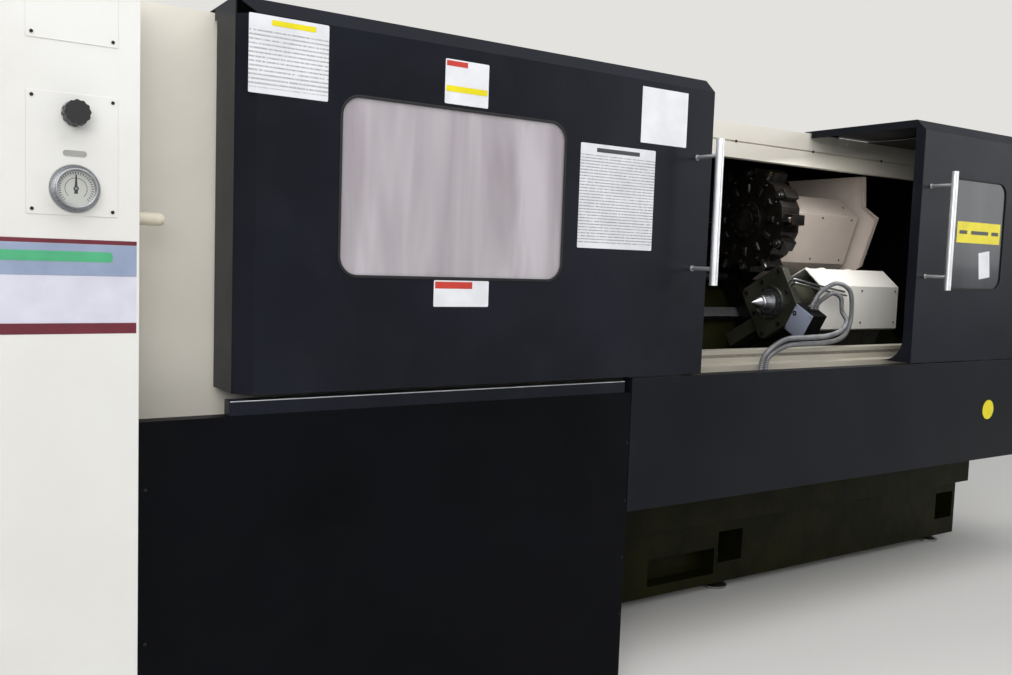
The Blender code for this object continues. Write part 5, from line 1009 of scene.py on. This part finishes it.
@dataclass
class ServiceFront(Trim):
    """Plates, screws and the gauge's dial on the left cabinet."""

    left: float = -2.345
    right: float = -2.147
    thick: float = 0.0016
    screw_inset: float = 0.012
    gap: float = 0.0002

    def plate(self, name: str, bottom: float, top: float, holes: Sequence[tuple[Vector, float]], group: str) -> None:
        """White plate with a screw in each corner.

        Args:
            name: Piece name.
            bottom: Lower edge.
            top: Upper edge.
            holes: Middle and radius of each hole.
            group: Word that starts the screws' names.
        """
        face = box_of("left_cabinet")[0].y - self.gap
        made = Bench.plate(name, (self.left, face - self.thick, bottom), (self.right, face, top), 0.004)
        Bench.cut(made, [Bench.drum("hole", (c.x, face - 0.01, c.z), (c.x, face + 0.01, c.z), r, 64) for c, r in holes])
        self.fit(made, "frame", WHITE, "white")
        inset = self.screw_inset
        self.screws.set([(x, face - self.thick, z) for x in (self.left + inset, self.right - inset)
                         for z in (bottom + inset, top - inset)], FRONT, "frame", group, 0.75)

    def tag(self) -> None:
        """Small blank oval tag between knob and gauge."""
        face = box_of("left_cabinet")[0].y - self.gap - self.thick
        tag = Bench.plate("blank_tag", (-2.268, face - 0.0009, 1.655), (-2.216, face - GAP, 1.669), 0.0069, 0.0)
        Bench.inset(tag, FRONT, 0.0016, -0.0003)
        self.fit(tag, "frame", Printed("aluminium_tag", "#a9a9a6", "#94948f", 0.4), "bright_steel")

    def dial(self) -> None:
        """Printed dial disc, a chromed bezel ring and its glass."""
        low, high = box_of("pressure_gauge")
        x, z = (low.x + high.x) / 2, (low.z + high.z) / 2
        seat = high.y - 0.0160
        disc = Bench.drum("gauge_dial", (x, seat - 0.00006, z), (x, seat - 0.00022, z), 0.0412, 64)
        Bench.cut(disc, [Bench.drum("hole", (x, seat - 0.01, z), (x, seat + 0.01, z), 0.0034, 24)])
        face = DialFace("gauge_dial_print", "#eceae4", "#1c1c1c", 0.5, centre=(x, seat, z), radius=0.0412)
        self.fit(disc, "frame", face, "white")
        Bench.clear()
        bpy.ops.mesh.primitive_torus_add(major_radius=0.0437, minor_radius=0.0026, major_segments=64,
                                         minor_segments=12, location=(x, low.y - 0.0004, z),
                                         rotation=(math.pi / 2, 0, 0))
        bezel = Bench.settle("gauge_bezel")
        # The torus is flattened at its back, so that it doesn't reach into the gauge's case.
        Bench.squeeze(bezel, (0, 1, 0), (1.0, 0.4, 1.0), (x, low.y, z))
        bpy.ops.object.shade_smooth()
        self.fit(bezel, "frame", GROUND, "bright_steel")
        glass = Bench.drum("gauge_glass", (x, low.y + 0.0030, z), (x, low.y + 0.0042, z), 0.0418, 64)
        Bench.soften(glass, 0.0003, 1, 60.0)
        self.fit(glass, "frame", ClearGlass("gauge_glass_pane", "#f4f6f6", "#e8eaea", 0.04), "glass")

    def build(self) -> None:
        """Regulator plate with two holes, the plain cover plate above it, the tag and the dial."""
        self.plate("regulator_plate", 1.519, 1.799,
                   ((middle_of("pressure_gauge"), 0.0562), (middle_of("regulator_knob"), 0.0300)), "regulator")
        self.plate("upper_cover_plate", 1.915, 2.070, (), "cover")
        self.tag()
        self.dial()


@dataclass
class CabinetFields(Trim):
    """Plain colour fields where the left cabinet's front carries its signs."""

    left: float = -2.452
    right: float = -2.1035
    film: float = 0.0003

    def build(self) -> None:
        """Maroon bands above and below a blue-grey field and a pale one, and a green bar on the first."""
        face = box_of("left_cabinet")[0].y - GAP
        maroon = Printed("maroon_vinyl", "#6a2230", "#5e1d2a", 0.42)
        slate = Printed("slate_vinyl", "#93a0b8", "#8794ad", 0.42)
        green = Printed("green_vinyl", "#4fae7c", "#46a072", 0.42)
        lilac = Printed("lilac_vinyl", "#d3d2de", "#c8c7d4", 0.42)
        above = face - self.film - GAP
        for name, x0, x1, low, high, back, corner, finish in (
                ("top_band", 0, 0, 1.4540, 1.4640, face, 0.0015, maroon),
                ("slate_field", 0, 0, 1.3790, 1.4535, face, 0.0015, slate),
                ("lilac_field", 0, 0, 1.2680, 1.3785, face, 0.0015, lilac),
                ("low_band", 0, 0, 1.2420, 1.2675, face, 0.0015, maroon),
                ("green_bar", 0.045, -0.055, 1.412, 1.436, above, 0.008, green)):
            sheet = Bench.plate(name, (self.left + x0, back - self.film, low), (self.right + x1, back, high),
                                corner, 0.0)
            self.fit(sheet, "frame", finish, "white")


@dataclass
class DoorTrim(Trim):
    """Seals round the windows and the plain fields stuck on doors and apron."""

    film: float = 0.0003
    margin: float = 0.022
    corner: float = 0.055
    lip: float = 0.004

    def frame_block(self, name: str, side: str, grow: float, front: float, back: float) -> Obj:
        """Block over a window's opening, with rounded corners.

        Args:
            name: Piece name.
            side: Which door.
            grow: Reach past the opening on each side.
            front: Reach before the door's face.
            back: Reach behind it.

        Returns:
            The block.
        """
        low, high = box_of(f"{side}_door_window")
        face = box_of(f"{side}_door")[0].y
        made = Bench.block(name, (low.x + self.margin - grow, face - front, low.z + self.margin - grow),
                           (high.x - self.margin + grow, face + back, high.z - self.margin + grow))
        return Bench.round_corners(made, self.corner + grow, 10)

    def fields(self) -> None:
        """Fields on the left door and the apron, each on the door's face or on the field under it."""
        white = Printed("white_vinyl", "#e2e3e6", "#d6d7da", 0.45)
        rows = Printed("white_vinyl_rows", "#dfe0e3", "#d3d4d8", 0.45, rows_mm=11.0, rows_low=1.868, rows_top=2.020)
        chart = Printed("white_vinyl_chart", "#dcdde0", "#cfd0d4", 0.45, rows_mm=9.5, rows_low=1.512, rows_top=1.795,
                        rows_colour="#6f6f72")
        yellow = Printed("yellow_vinyl", "#e6d800", "#d8ca00", 0.42)
        red = Printed("red_vinyl", "#c33a2c", "#b23226", 0.42)
        dark = Printed("dark_vinyl", "#3a3a3c", "#303032", 0.42)
        face, pane = box_of("left_door")[0].y, box_of("right_door_window")[0].y
        left, right = "left_door_unit", "right_door_unit"
        for name, x0, x1, z0, z1, finish, layer, corner, body in (
                ("corner_field", -1.835, -1.618, 1.854, 2.052, rows, 0, 0.004, left),
                ("corner_field_band", -1.775, -1.655, 2.028, 2.042, yellow, 1, 0.001, left),
                ("chart_field", -0.765, -0.451, 1.499, 1.830, chart, 0, 0.004, left),
                ("chart_field_band", -0.70, -0.52, 1.805, 1.818, dark, 1, 0.001, left),
                ("paper_field", -0.519, -0.315, 1.853, 2.035, white, 0, 0.002, left),
                ("upper_field", -1.262, -1.115, 1.893, 2.019, white, 0, 0.004, left),
                ("upper_field_red", -1.258, -1.188, 2.000, 2.015, red, 1, 0.001, left),
                ("upper_field_yellow", -1.258, -1.119, 1.928, 1.945, yellow, 1, 0.001, left),
                ("lower_field", -1.280, -1.092, 1.309, 1.386, white, 0, 0.004, left),
                ("lower_field_red", -1.276, -1.150, 1.362, 1.382, red, 1, 0.001, left),
                ("apron_disc", 1.615, 1.705, 0.797, 0.887, yellow, 0, 0.0449, "frame"),
                ("pane_strip", 1.318, 1.655, 1.598, 1.690, yellow, 0, 0.002, right),
                ("pane_strip_mark_1", 1.335, 1.395, 1.636, 1.652, dark, 1, 0.002, right),
                ("pane_strip_mark_2", 1.425, 1.560, 1.636, 1.652, dark, 1, 0.002, right),
                ("pane_strip_mark_3", 1.585, 1.640, 1.636, 1.652, dark, 1, 0.002, right),
                ("pane_slip", 1.503, 1.588, 1.444, 1.562, white, 0, 0.002, right)):
            # Marks on the pane lie tight on their strip, and marks on the door have a gap.
            step = self.film + (GAP if body == left else 0.0)
            back = (pane if body == right else face) - GAP - layer * step
            sheet = Bench.plate(name, (x0, back - self.film, z0), (x1, back, z1), corner, 0.0)
            if name == "pane_slip":
                Bench.turn(sheet, -8.0, "Y", (1.545, pane, 1.503))
            self.fit(sheet, body, finish, "white")

    def build(self) -> None:
        """Rubber seals first, then the fields."""
        for side in ("left", "right"):
            rim = self.frame_block(f"{side}_window_seal", side, self.lip, 0.0022, -GAP)
            Bench.cut(rim, [self.frame_block("hollow", side, -self.lip, 0.02, 0.02)])
            self.fit(Bench.soften(rim, 0.0008, 2), f"{side}_door_unit", RUBBER, "rubber")
        self.fields()


class FrontTrim(Trim):
    """Rails, handle collars, an interlock plate and the screws that hold the front's sheets."""

    def rails(self) -> None:
        """Bright strips on the guide's top edge and along the sill's lip, and a black rubber strip under the lip that
        also paints the shaded gap there.
        """
        low, high = box_of("door_guide_strip")
        for name, start, end, soft, finish, slot in (
                ("guide_rail", (low.x + 0.002, low.y - 0.0014, high.z - 0.0034),
                 (high.x - 0.002, low.y - 0.0002, high.z - 0.0008), (0.0004, 1), RAIL, "bright_steel"),
                ("sill_rail", (-0.598, -0.6922, 1.1140), (1.464, -0.6903, 1.1262), (0.0005, 1), RAIL, "bright_steel"),
                # Black rubber seal that also stands for the dark gap in shade under the sill rail.
                ("sill_seal_shade_strip", (-0.598, -0.6930, 1.0990), (1.464, -0.6903, 1.1138), (0.0009, 2), RUBBER, "rubber")):
            self.fit(Bench.soften(Bench.block(name, start, end), *soft), "frame", finish, slot)

    def panels(self) -> None:
        """Screws of the header and the lower panel."""
        for node, group, xs, zs, scale in (
                ("header_beam", "header", (-0.475, 0.040, 0.5546, 1.0696, 1.585, 2.10), (2.0090,), 1.1),
                ("lower_left_panel", "panel", (-0.520,), (0.851, 0.654, 0.457, 0.260), 0.8),
                ("lower_left_panel", "panel", (-2.080,), (0.851, 0.457), 0.8)):
            face = box_of(node)[0].y
            self.screws.set([(x, face, z) for x in xs for z in zs], FRONT, "frame", group, scale)

    def door_bits(self) -> None:
        """Collars on the handle posts and the interlock plate on the left door's end."""
        for side in ("left", "right"):
            middle, face = middle_of(f"{side}_door_handle"), box_of(f"{side}_door")[0].y
            for number, z in enumerate((middle.z - 0.19, middle.z + 0.19), 1):
                collar = Bench.ring(f"{side}_post_collar_{number}", (middle.x, face - GAP, z),
                                    (middle.x, face - 0.004, z), 0.0100, 0.0074, 32)
                self.fit(collar, f"{side}_door_unit", GROUND, "bright_steel")
        low, high = box_of("left_door")
        edge, face = high.x, low.y
        plate = Bench.block("interlock_plate", (edge + 0.0002, face + 0.004, 1.838),
                            (edge + 0.0018, face + 0.036, 1.908))
        Bench.cut(plate, [Bench.drum("hole", (edge - 0.01, face + 0.020, 1.873), (edge + 0.01, face + 0.020, 1.873),
                                     0.008, 24)])
        self.fit(Bench.soften(plate, 0.0005), "left_door_unit", TURNED, "bright_steel")

    def build(self) -> None:
        """Rails, screws and door pieces."""
        self.rails()
        self.panels()
        self.door_bits()


@dataclass
class TurretTrim(Trim):
    """Cap, clamp wedges, tools and coolant balls on the indexing disc."""

    stations: int = 12
    wedge_radius: float = 0.150
    tool_radius: float = 0.221
    cap_radius: float = 0.052

    def around(self, radius: float, turn: float, x: float) -> Point:
        """Point at a radius and angle about the disc's axis, at a length along it."""
        middle = middle_of("turret_disc")
        return (x, middle.y + radius * math.cos(turn), middle.z + radius * math.sin(turn))

    def build(self) -> None:
        """Dress the front face and every station."""
        hub = box_of("turret_disc")[0].x
        cap = Bench.drum("turret_cap", self.around(0, 0, hub - GAP), self.around(0, 0, hub - 0.0035),
                         self.cap_radius, 48)
        Bench.inset(cap, LEFT, 0.014, -0.0018)
        self.fit(Bench.soften(cap, 0.0008, 2, 40.0), "turret", OXIDE_BOLT, "black_steel")
        step = math.tau / self.stations
        self.screws.set([self.around(0.074, step * (i + 0.5), hub) for i in range(self.stations)], LEFT,
                        "turret", "hub", 1.3)
        for number in range(self.stations):
            self.station(number, step * number, hub + 0.012)

    def station(self, number: int, turn: float, face: float) -> None:
        """Clamp wedge, its screws, a coolant ball and a tool at one station.

        Args:
            number: Station, from zero; odd ones hold a boring bar, even ones a turning tool.
            turn: Its angle in radians.
            face: Length at which the disc's outer ring ends.
        """
        tag, middle, radius = number + 1, self.around(0, 0, face), self.tool_radius

        def at_station(obj: Obj, finish: Finish, slot: str) -> None:
            """Fit a piece that was modelled at angle zero."""
            self.fit(Bench.turn(obj, math.degrees(turn), "X", middle), "turret", finish, slot)

        low = (face - 0.009, middle[1] + self.wedge_radius - 0.022, middle[2] - 0.017)
        wedge = Bench.block(f"clamp_wedge_{tag}", low, (face - GAP, low[1] + 0.044, low[2] + 0.034))
        Bench.squeeze(wedge, LEFT, (1.0, 0.82, 0.70), (face, low[1] + 0.022, low[2] + 0.017))
        at_station(Bench.soften(wedge, 0.0012, 2, 30.0), OXIDE, "black_steel")
        self.screws.set([self.around(self.wedge_radius + 0.009 * k, turn, face - 0.009) for k in (-1, 1)], LEFT,
                        "turret", "wedge", 0.9)
        Bench.clear()
        bpy.ops.mesh.primitive_uv_sphere_add(segments=16, ring_count=8, radius=0.0065,
                                             location=self.around(0.196, turn + 0.10, face - 0.0005))
        ball = Bench.inset(Bench.settle(f"coolant_ball_{tag}"), LEFT, 0.0006, -0.002)
        self.fit(ball, "turret", OXIDE_BOLT, "black_steel")
        if number % 2:
            socket = Bench.ring(f"boring_socket_{tag}", self.around(radius, turn, face + 0.0173),
                                self.around(radius, turn, face - 0.008), 0.0195, 0.0125, 32)
            self.fit(socket, "turret", OXIDE_BOLT, "black_steel")
            bar = Bench.drum(f"boring_bar_{tag}", self.around(radius, turn, face + 0.016),
                             self.around(radius, turn, face - 0.011), 0.0120, 24)
            self.fit(Bench.soften(bar, 0.0015, 2, 40.0), "turret", TURNED, "bright_steel")
        else:
            for name, start, end, soft, finish in (
                    ("tool_shank", (-0.002, 0.217, -0.010), (0.0172, 0.2585, 0.010), 0.0010, TURNED),
                    ("tool_insert", (0.001, 0.249, 0.0101), (0.0135, 0.2600, 0.0140), 0.0008, CARBIDE)):
                corners = ([a + b for a, b in zip(middle, corner)] for corner in (start, end))
                tool = Bench.block(f"{name}_{tag}", *corners)
                at_station(Bench.soften(tool, soft, 2, 40.0), finish, "bright_steel")


@dataclass
class CarriageTrim(Trim):
    """Edge band and screws on the turret's cover."""

    start: float = 1.006
    band: float = 0.014
    thick: float = 0.0015
    section: tuple = ((-0.1655, 1.4950), (-0.2395, 1.7270), (-0.1185, 1.8200), (0.0960, 1.8200))

    def build(self) -> None:
        """Rubber edge band, and the screws of the two front facets."""
        edge = Bench.folded("cover_edge_band", self.section, self.start, self.start + self.band, self.thick)
        self.fit(Bench.soften(edge, 0.0004), "cross_slide_unit", RUBBER, "rubber")
        for leg, lengths, shares in ((0, (0.035, 0.25, 0.47), (0.07, 0.93)), (1, (0.035, 0.47), (0.5,))):
            (ya, za), (yb, zb) = self.section[leg:leg + 2]
            out = -Vector((0, zb - za, ya - yb)).normalized()
            self.screws.set([(self.start + x, ya + (yb - ya) * share, za + (zb - za) * share)
                             for x in lengths for share in shares], tuple(out), "cross_slide_unit", "cover", 0.9)


@dataclass
class TailstockTrim(Trim):
    """Bolts, quill flange, cover band, domes, box lid and pipes on the tailstock."""

    face: float = 0.80
    axis: tuple = (-0.334, 1.300)
    slant: tuple = (0.5, 0.8660254)
    bolt_reach: float = 0.106
    flange_radius: float = 0.078
    box_centre: tuple = (-0.502, 1.221)
    box_tilt: float = 29.0
    cover_start: float = 0.978

    def on_bed(self, x: float, s: float, h: float) -> Point:
        """Point at a length, s up the slant and h off it, measured from the quill's axis."""
        cosine, sine = self.slant
        return (x, self.axis[0] + cosine * s - sine * h, self.axis[1] + sine * s + cosine * h)

    def front_plate(self) -> None:
        """Cap screws round the casting's square plate, and the flange that holds the quill's seal."""
        x, steps = self.face, (-self.bolt_reach, 0.0, self.bolt_reach)
        self.screws.set([self.on_bed(x, s, h) for s in steps for h in steps if s or h], LEFT, "tailstock", "plate", 2.0)
        flange = Bench.ring("quill_flange", (x - GAP, *self.axis), (x - 0.010, *self.axis), self.flange_radius,
                            0.0525, 64, 0.0015)
        self.fit(flange, "tailstock", TURNED, "bright_steel")
        seal = Bench.ring("quill_wiper", (x - 0.0101, *self.axis), (x - 0.0135, *self.axis), 0.0600, 0.0512, 64)
        self.fit(seal, "tailstock", RUBBER, "rubber")
        self.screws.set([(x - 0.010, self.axis[0] + 0.0655 * math.cos(a), self.axis[1] + 0.0655 * math.sin(a))
                         for a in (math.tau * i / 6 for i in range(6))], LEFT, "tailstock", "flange", 0.9)

    def terminal(self) -> None:
        """Blue-grey lid on the black box, with its corner screws."""
        y, z = self.box_centre
        lid = Bench.block("terminal_lid", (self.face - 0.0031, y - 0.053, z - 0.065),
                          (self.face - GAP, y + 0.053, z + 0.065))
        Bench.turn(Bench.soften(lid, 0.0012, 2, 40.0), self.box_tilt, "X", (self.face, y, z))
        self.fit(lid, "tailstock", BOX_PLATE, "grey")
        turn = Matrix.Rotation(math.radians(self.box_tilt), 3, "X")
        spots = [turn @ Vector((0, u, v)) for u in (-0.046, 0.046) for v in (-0.058, 0.058)]
        self.screws.set([(self.face - 0.0031, y + s.y, z + s.z) for s in spots], LEFT, "tailstock", "lid", 0.7,
                        GROUND, "bright_steel")

    def cover_bands(self) -> None:
        """Folded joint band at the cover's front end, with screws and two raised domes."""
        path = ((-0.4673, 1.190), (-0.4673, 1.3878), (-0.3735, 1.4636), (-0.2115, 1.3745))
        band = Bench.folded("tail_cover_band", path, self.cover_start, self.cover_start + 0.020, 0.0015)
        self.fit(Bench.soften(band, 0.0004), "tailstock", WHITE, "cream")
        # The first screws stand on the band, the others on the cover's own face.
        self.screws.set([(self.cover_start + along, face, z)
                         for along, face in ((0.010, -0.4690), (0.30, -0.4675), (0.555, -0.4675))
                         for z in (1.215, 1.365)], FRONT, "tailstock", "tail_cover", 0.9)
        (ya, za), (yb, zb) = path[2:]
        out = Vector((0.0, za - zb, yb - ya)).normalized()
        for number, (x, share, radius) in enumerate(((1.16, 0.42, 0.045), (1.36, 0.50, 0.055)), 1):
            seat = Vector((x, ya + (yb - ya) * share, za + (zb - za) * share))
            dome = Bench.drum(f"cover_dome_{number}", seat + out * 0.0002, seat + out * 0.028, radius, 40)
            self.fit(Bench.soften(dome, 0.012, 4, 40.0), "tailstock", WHITE, "cream")

    def pipes(self) -> None:
        """Two bright pipes from the front plate's upper corner back over the cover's front."""
        face, cover = self.face, self.cover_start
        for number, shift in enumerate((0.0, 0.020), 1):
            a, b, c, d, e = (self.on_bed(x, s + shift, h) for x, s, h in (
                (face + 0.012, 0.02, 0.1302), (face + 0.012, 0.02, 0.158), (face + 0.06, 0.0, 0.168),
                (cover + 0.05, -0.03, 0.164), (cover + 0.16, -0.04, 0.154)))
            spots = [(place, 1.0) for place in (a, b, b, c, d, e)]
            pipe = Bench.swept(f"lubrication_pipe_{number}", "NURBS", spots, 0.0045, 40)
            self.fit(pipe, "tailstock", GROUND, "bright_steel")

    def build(self) -> None:
        """All of it, from the front plate back."""
        self.front_plate()
        self.terminal()
        self.cover_bands()
        self.pipes()


@dataclass
class Conduits(Trim):
    """Corrugated conduits, their glands, and the links of the cable chain that takes them."""

    face: float = 0.80
    axis: tuple = (-0.334, 1.300)
    tilt: float = math.radians(29.0)
    radius: float = 0.0108
    rib: float = 0.0065
    rib_depth: float = 0.0022
    pitch: float = 0.045
    spacing: float = 0.026
    start: tuple = (-0.5346, 1.2799)
    routes: tuple = (
        ((0.060, -0.231, 0.060), (0.130, -0.256, 0.100), (0.210, -0.266, 0.070), (0.245, -0.256, -0.010),
         (0.210, -0.276, -0.085), (0.100, -0.321, -0.135), (-0.060, -0.366, -0.150), (-0.240, -0.411, -0.148),
         (-0.410, -0.451, -0.150), (-0.530, -0.471, -0.190)),
        ((0.085, -0.226, 0.030), (0.135, -0.236, 0.055), (0.185, -0.241, 0.035), (0.205, -0.236, -0.025),
         (0.170, -0.291, -0.065), (0.070, -0.341, -0.102), (-0.080, -0.386, -0.120), (-0.250, -0.431, -0.120),
         (-0.430, -0.462, -0.124), (-0.560, -0.478, -0.180)))

    @staticmethod
    def smooth(points: Sequence[Vector], steps: int) -> list[Vector]:
        """Even samples of a smooth curve through the points."""
        padded = [points[0] * 2 - points[1], *points, points[-1] * 2 - points[-2]]
        made = []
        for i in range(steps + 1):
            place = (len(points) - 1) * i / steps
            leg = min(int(place), len(points) - 2)
            t = place - leg
            a, b, c, d = padded[leg:leg + 4]
            made.append((b * 2 + (c - a) * t + (a * 2 - b * 5 + c * 4 - d) * t * t
                         + (b * 3 - a - c * 3 + d) * t * t * t) / 2)
        return made

    def hoses(self) -> None:
        """Each hose rises out of the box, loops over and drops into the chain."""
        lean = Vector((0.0, -math.sin(self.tilt), math.cos(self.tilt)))
        chain_low, chain_high = box_of("tailstock_cable_chain")
        for number, shape in enumerate(self.routes, 1):
            route = [Vector((self.face, *self.axis)) + Vector(place) for place in shape]
            start = Vector((self.face + 0.045 + (number - 1.5) * self.spacing, *self.start))
            rise = start + lean * self.spacing
            end = Vector((route[-1].x - self.spacing, (chain_low.y + chain_high.y) / 2, chain_high.z + 0.0006))
            line = [start, *self.smooth([rise, *route, end + Vector((0, 0, self.spacing))], 240), end]
            hose = Bench.ribbed(f"corrugated_conduit_{number}", line, self.radius, self.rib, self.rib_depth)
            self.fit(hose, "tailstock", CONDUIT_GREY, "grey")
            gland = Bench.ring(f"conduit_gland_{number}", start + lean * 0.0001, start + lean * 0.016,
                               0.0165, self.radius + 0.0002, 6, 0.0010)
            self.fit(gland, "tailstock", TURNED, "bright_steel")
            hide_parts(f"conduit_{number}")

    def links(self) -> None:
        """One link with side plates and cross bars, copied along the chain."""
        low, high = box_of("tailstock_cable_chain")
        wall, gap = 0.005, 0.0008
        x0, x1 = low.x + gap, low.x + self.pitch - gap
        parts = []
        for y in (low.y + 0.0005, high.y - wall - 0.0005):
            side = Bench.block("link_side", (x0, y, low.z + 0.0005), (x1, y + wall, high.z - 0.003))
            parts.append(Bench.soften(Bench.round_corners(side, 0.010, 4), 0.0008))
        for z in (low.z + 0.001, high.z - 0.0075):
            bar = Bench.block("link_bar", (x0 + 0.014, low.y + wall, z), (x1 - 0.014, high.y - wall, z + 0.004))
            parts.append(Bench.soften(bar, 0.0008))
        pattern = Bench.join("link_pattern", parts)
        links = [Bench.copy(pattern, f"chain_link_{number + 1}", (number * self.pitch, 0, 0))
                 for number in range(round((high.x - low.x) / self.pitch))]
        for link in links:
            self.fit(link, "tailstock", BLACK_PLASTIC, "black_plastic")
        bpy.data.objects.remove(pattern, do_unlink=True)
        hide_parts("tailstock_cable_chain")

    def build(self) -> None:
        """Hoses first, then the chain."""
        self.hoses()
        self.links()


@dataclass
class ConsoleTrim(Trim):
    """Screen, blank keys and button rings on the operator console."""

    columns: int = 12
    rows: int = 4
    key: float = 0.013

    def build(self) -> None:
        """Screen glass in the recess, a bezel, a field of blank keys and a ring for each control."""
        low, high = box_of("operator_console")
        left, top = low.x + 0.04, high.z - 0.10
        glass = Bench.plate("screen_glass", (left + 0.002, low.y + 0.0022, top - 0.228),
                            (left + 0.298, low.y + 0.0050, top - 0.002), 0.004)
        self.fit(glass, "frame", SCREEN_GLASS, "black_plastic")
        bezel = Bench.plate("screen_bezel", (left - 0.008, low.y - 0.0020, top - 0.238),
                            (left + 0.308, low.y - GAP, top + 0.008), 0.006)
        Bench.cut(bezel, [Bench.block("hole", (left + 0.006, low.y - 0.01, top - 0.224),
                                      (left + 0.294, low.y + 0.01, top - 0.006))])
        self.fit(Bench.soften(bezel, 0.0006), "frame", BLACK_PLASTIC, "black_plastic")
        ground = Bench.plate("key_field", (left, low.y - 0.0010, low.z + 0.150),
                             (left + 0.40, low.y - GAP, top - 0.250), 0.004)
        self.fit(ground, "frame", Printed("key_field_print", "#8d9096", "#84878d", 0.5), "grey")
        z0, z1 = low.z + 0.163, top - 0.263
        pattern = Bench.soften(Bench.block("key_pattern", (0, -0.0028, 0), (self.key, 0, self.key)), 0.0010, 2)
        for number in range(self.rows * self.columns):
            row, column = divmod(number, self.columns)
            place = (left + 0.016 + column * 0.0320, low.y - 0.0011, z0 + row * (z1 - z0 - self.key) / (self.rows - 1))
            self.fit(Bench.copy(pattern, f"blank_key_{number + 1}", place), "frame", KEY_PLASTIC, "black_plastic")
        bpy.data.objects.remove(pattern, do_unlink=True)
        for node, inner, outer, finish in (("emergency_stop", 0.0215, 0.0300, YELLOW_RING),
                                           ("cycle_start_button", 0.0150, 0.0200, BLACK_PLASTIC)):
            centre = middle_of(node)
            ring = Bench.ring(f"{node}_ring", (centre.x, low.y - GAP, centre.z),
                              (centre.x, low.y - 0.0030, centre.z), outer, inner, 40)
            self.fit(ring, "frame", finish, "black_plastic")
        self.screws.set([(x, low.y, z) for x in (low.x + 0.014, high.x - 0.014)
                         for z in (low.z + 0.064, high.z - 0.064)], FRONT, "frame", "console", 0.9)


@dataclass
class RearTrim(Trim):
    """Cover plates, vents and latches on the back and the roof."""

    plate: float = 0.0015
    margin: float = 0.012

    def covers(self) -> None:
        """Four bolted cover plates on the back wall and three on the roof."""
        high = box_of("rear_enclosure")[1]
        back, roof = high.y + 0.0002, high.z + 0.0002
        for number, (x0, x1) in enumerate(((-2.56, -1.72), (-1.68, -0.84), (-0.80, 0.04), (0.08, 0.92)), 1):
            face, inner = back + self.plate, (x0 + self.margin, x1 - self.margin)
            cover = Bench.block(f"rear_cover_{number}", (x0, back, 0.60), (x1, face, 1.96))
            if number in (1, 3):
                self.louvre(number, (x0 + x1) / 2, face)
            self.fit(Bench.soften(cover, 0.0005), "frame", CREAM, "cream")
            spots = [(x, face, z) for x in (inner[0], (x0 + x1) / 2, inner[1]) for z in (0.615, 1.945)]
            spots += [(x, face, z) for x in inner for z in (1.06, 1.50)]
            self.screws.set(spots, (0, 1, 0), "frame", "rear", 1.0)
        for number, (x0, x1) in enumerate(((-2.50, -0.95), (-0.90, 0.65), (0.70, 2.25)), 1):
            cover = Bench.block(f"roof_cover_{number}", (x0, -0.20, roof), (x1, 0.66, roof + self.plate))
            self.fit(Bench.soften(cover, 0.0005), "frame", CREAM, "cream")
            self.screws.set([(x, y, roof + self.plate) for x in (x0 + 0.02, (x0 + x1) / 2, x1 - 0.02)
                             for y in (-0.185, 0.645)], (0, 0, 1), "frame", "roof", 1.0)

    def louvre(self, number: int, middle: float, face: float) -> None:
        """Black plate as painted shade of the vent's openings, under slanted cream blades on a rear cover.

        Args:
            number: Number of the cover.
            middle: Middle of the field along the machine.
            face: Outer face of the cover.
        """
        # The black plate paints the shade behind the vent's openings; the cover itself has no holes.
        ground = Bench.plate(f"rear_vent_shade_field_{number}", (middle - 0.17, face + GAP, 1.60),
                             (middle + 0.17, face + 0.0009, 1.84), 0.006)
        self.fit(ground, "frame", BLACK_PLASTIC, "black_plastic")
        blades = []
        for z in (1.622 + 0.0275 * index for index in range(8)):
            blade = Bench.block("blade", (middle - 0.158, face + 0.0010, z - 0.009),
                                (middle + 0.158, face + 0.0022, z + 0.009))
            Bench.turn(blade, 24.0, "X", (middle, face + 0.0010, z + 0.009))
            blades.append(Bench.soften(blade, 0.0003))
        self.fit(Bench.join(f"rear_vent_blades_{number}", blades), "frame", CREAM, "cream")

    def cabinet_door(self) -> None:
        """Flush latches and pressed vents, cut into a copy of the cabinet's door."""
        name = "electrical_cabinet_door"
        door = Bench.free_copy(self.dresser.nodes[name], "electrical_door_dressed")
        low, high = box_of(name)
        tools = [Bench.block("hole", (high.x - 0.42, low.y - 0.01, low.z + 0.14 + 0.024 * i),
                             (high.x - 0.14, high.y + 0.01, low.z + 0.148 + 0.024 * i)) for i in range(9)]
        spots = [(high.x - 0.05, z) for z in (low.z + 0.25, high.z - 0.25)]
        tools += [Bench.drum("hole", (x, low.y - 0.01, z), (x, high.y + 0.01, z), 0.019, 40) for x, z in spots]
        self.fit(Bench.soften(Bench.cut(door, tools), 0.0005), "cabinet_door", CREAM, "cream")
        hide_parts(name)
        for number, (x, z) in enumerate(spots, 1):
            latch = Bench.drum(f"flush_latch_{number}", (x, low.y - 0.002, z), (x, high.y - 0.0004, z), 0.0185, 40)
            Bench.cut(latch, [Bench.block("hole", (x - 0.0125, high.y - 0.0018, z - 0.0022),
                                          (x + 0.0125, high.y + 0.01, z + 0.0022))])
            self.fit(Bench.soften(latch, 0.0005), "cabinet_door", BLACK_PLASTIC, "black_plastic")

    def build(self) -> None:
        """Covers, then the cabinet's door."""
        self.covers()
        self.cabinet_door()


def main() -> None:
    """Dress the whole machine, piece by piece."""
    logging.basicConfig(level=logging.INFO, format="%(name)s: %(message)s")
    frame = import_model()
    Studio().build()
    dresser = Dresser(frame)
    screws = ScrewKit(dresser)
    for group in (NodeFinishes, Casework, ServiceFront, CabinetFields, DoorTrim, FrontTrim, TurretTrim, CarriageTrim,
                  TailstockTrim, Conduits, ConsoleTrim, RearTrim):
        group(dresser, screws).build()
    screws.put_away()
    Bench.clear()


if __name__ == "__main__":
    main()
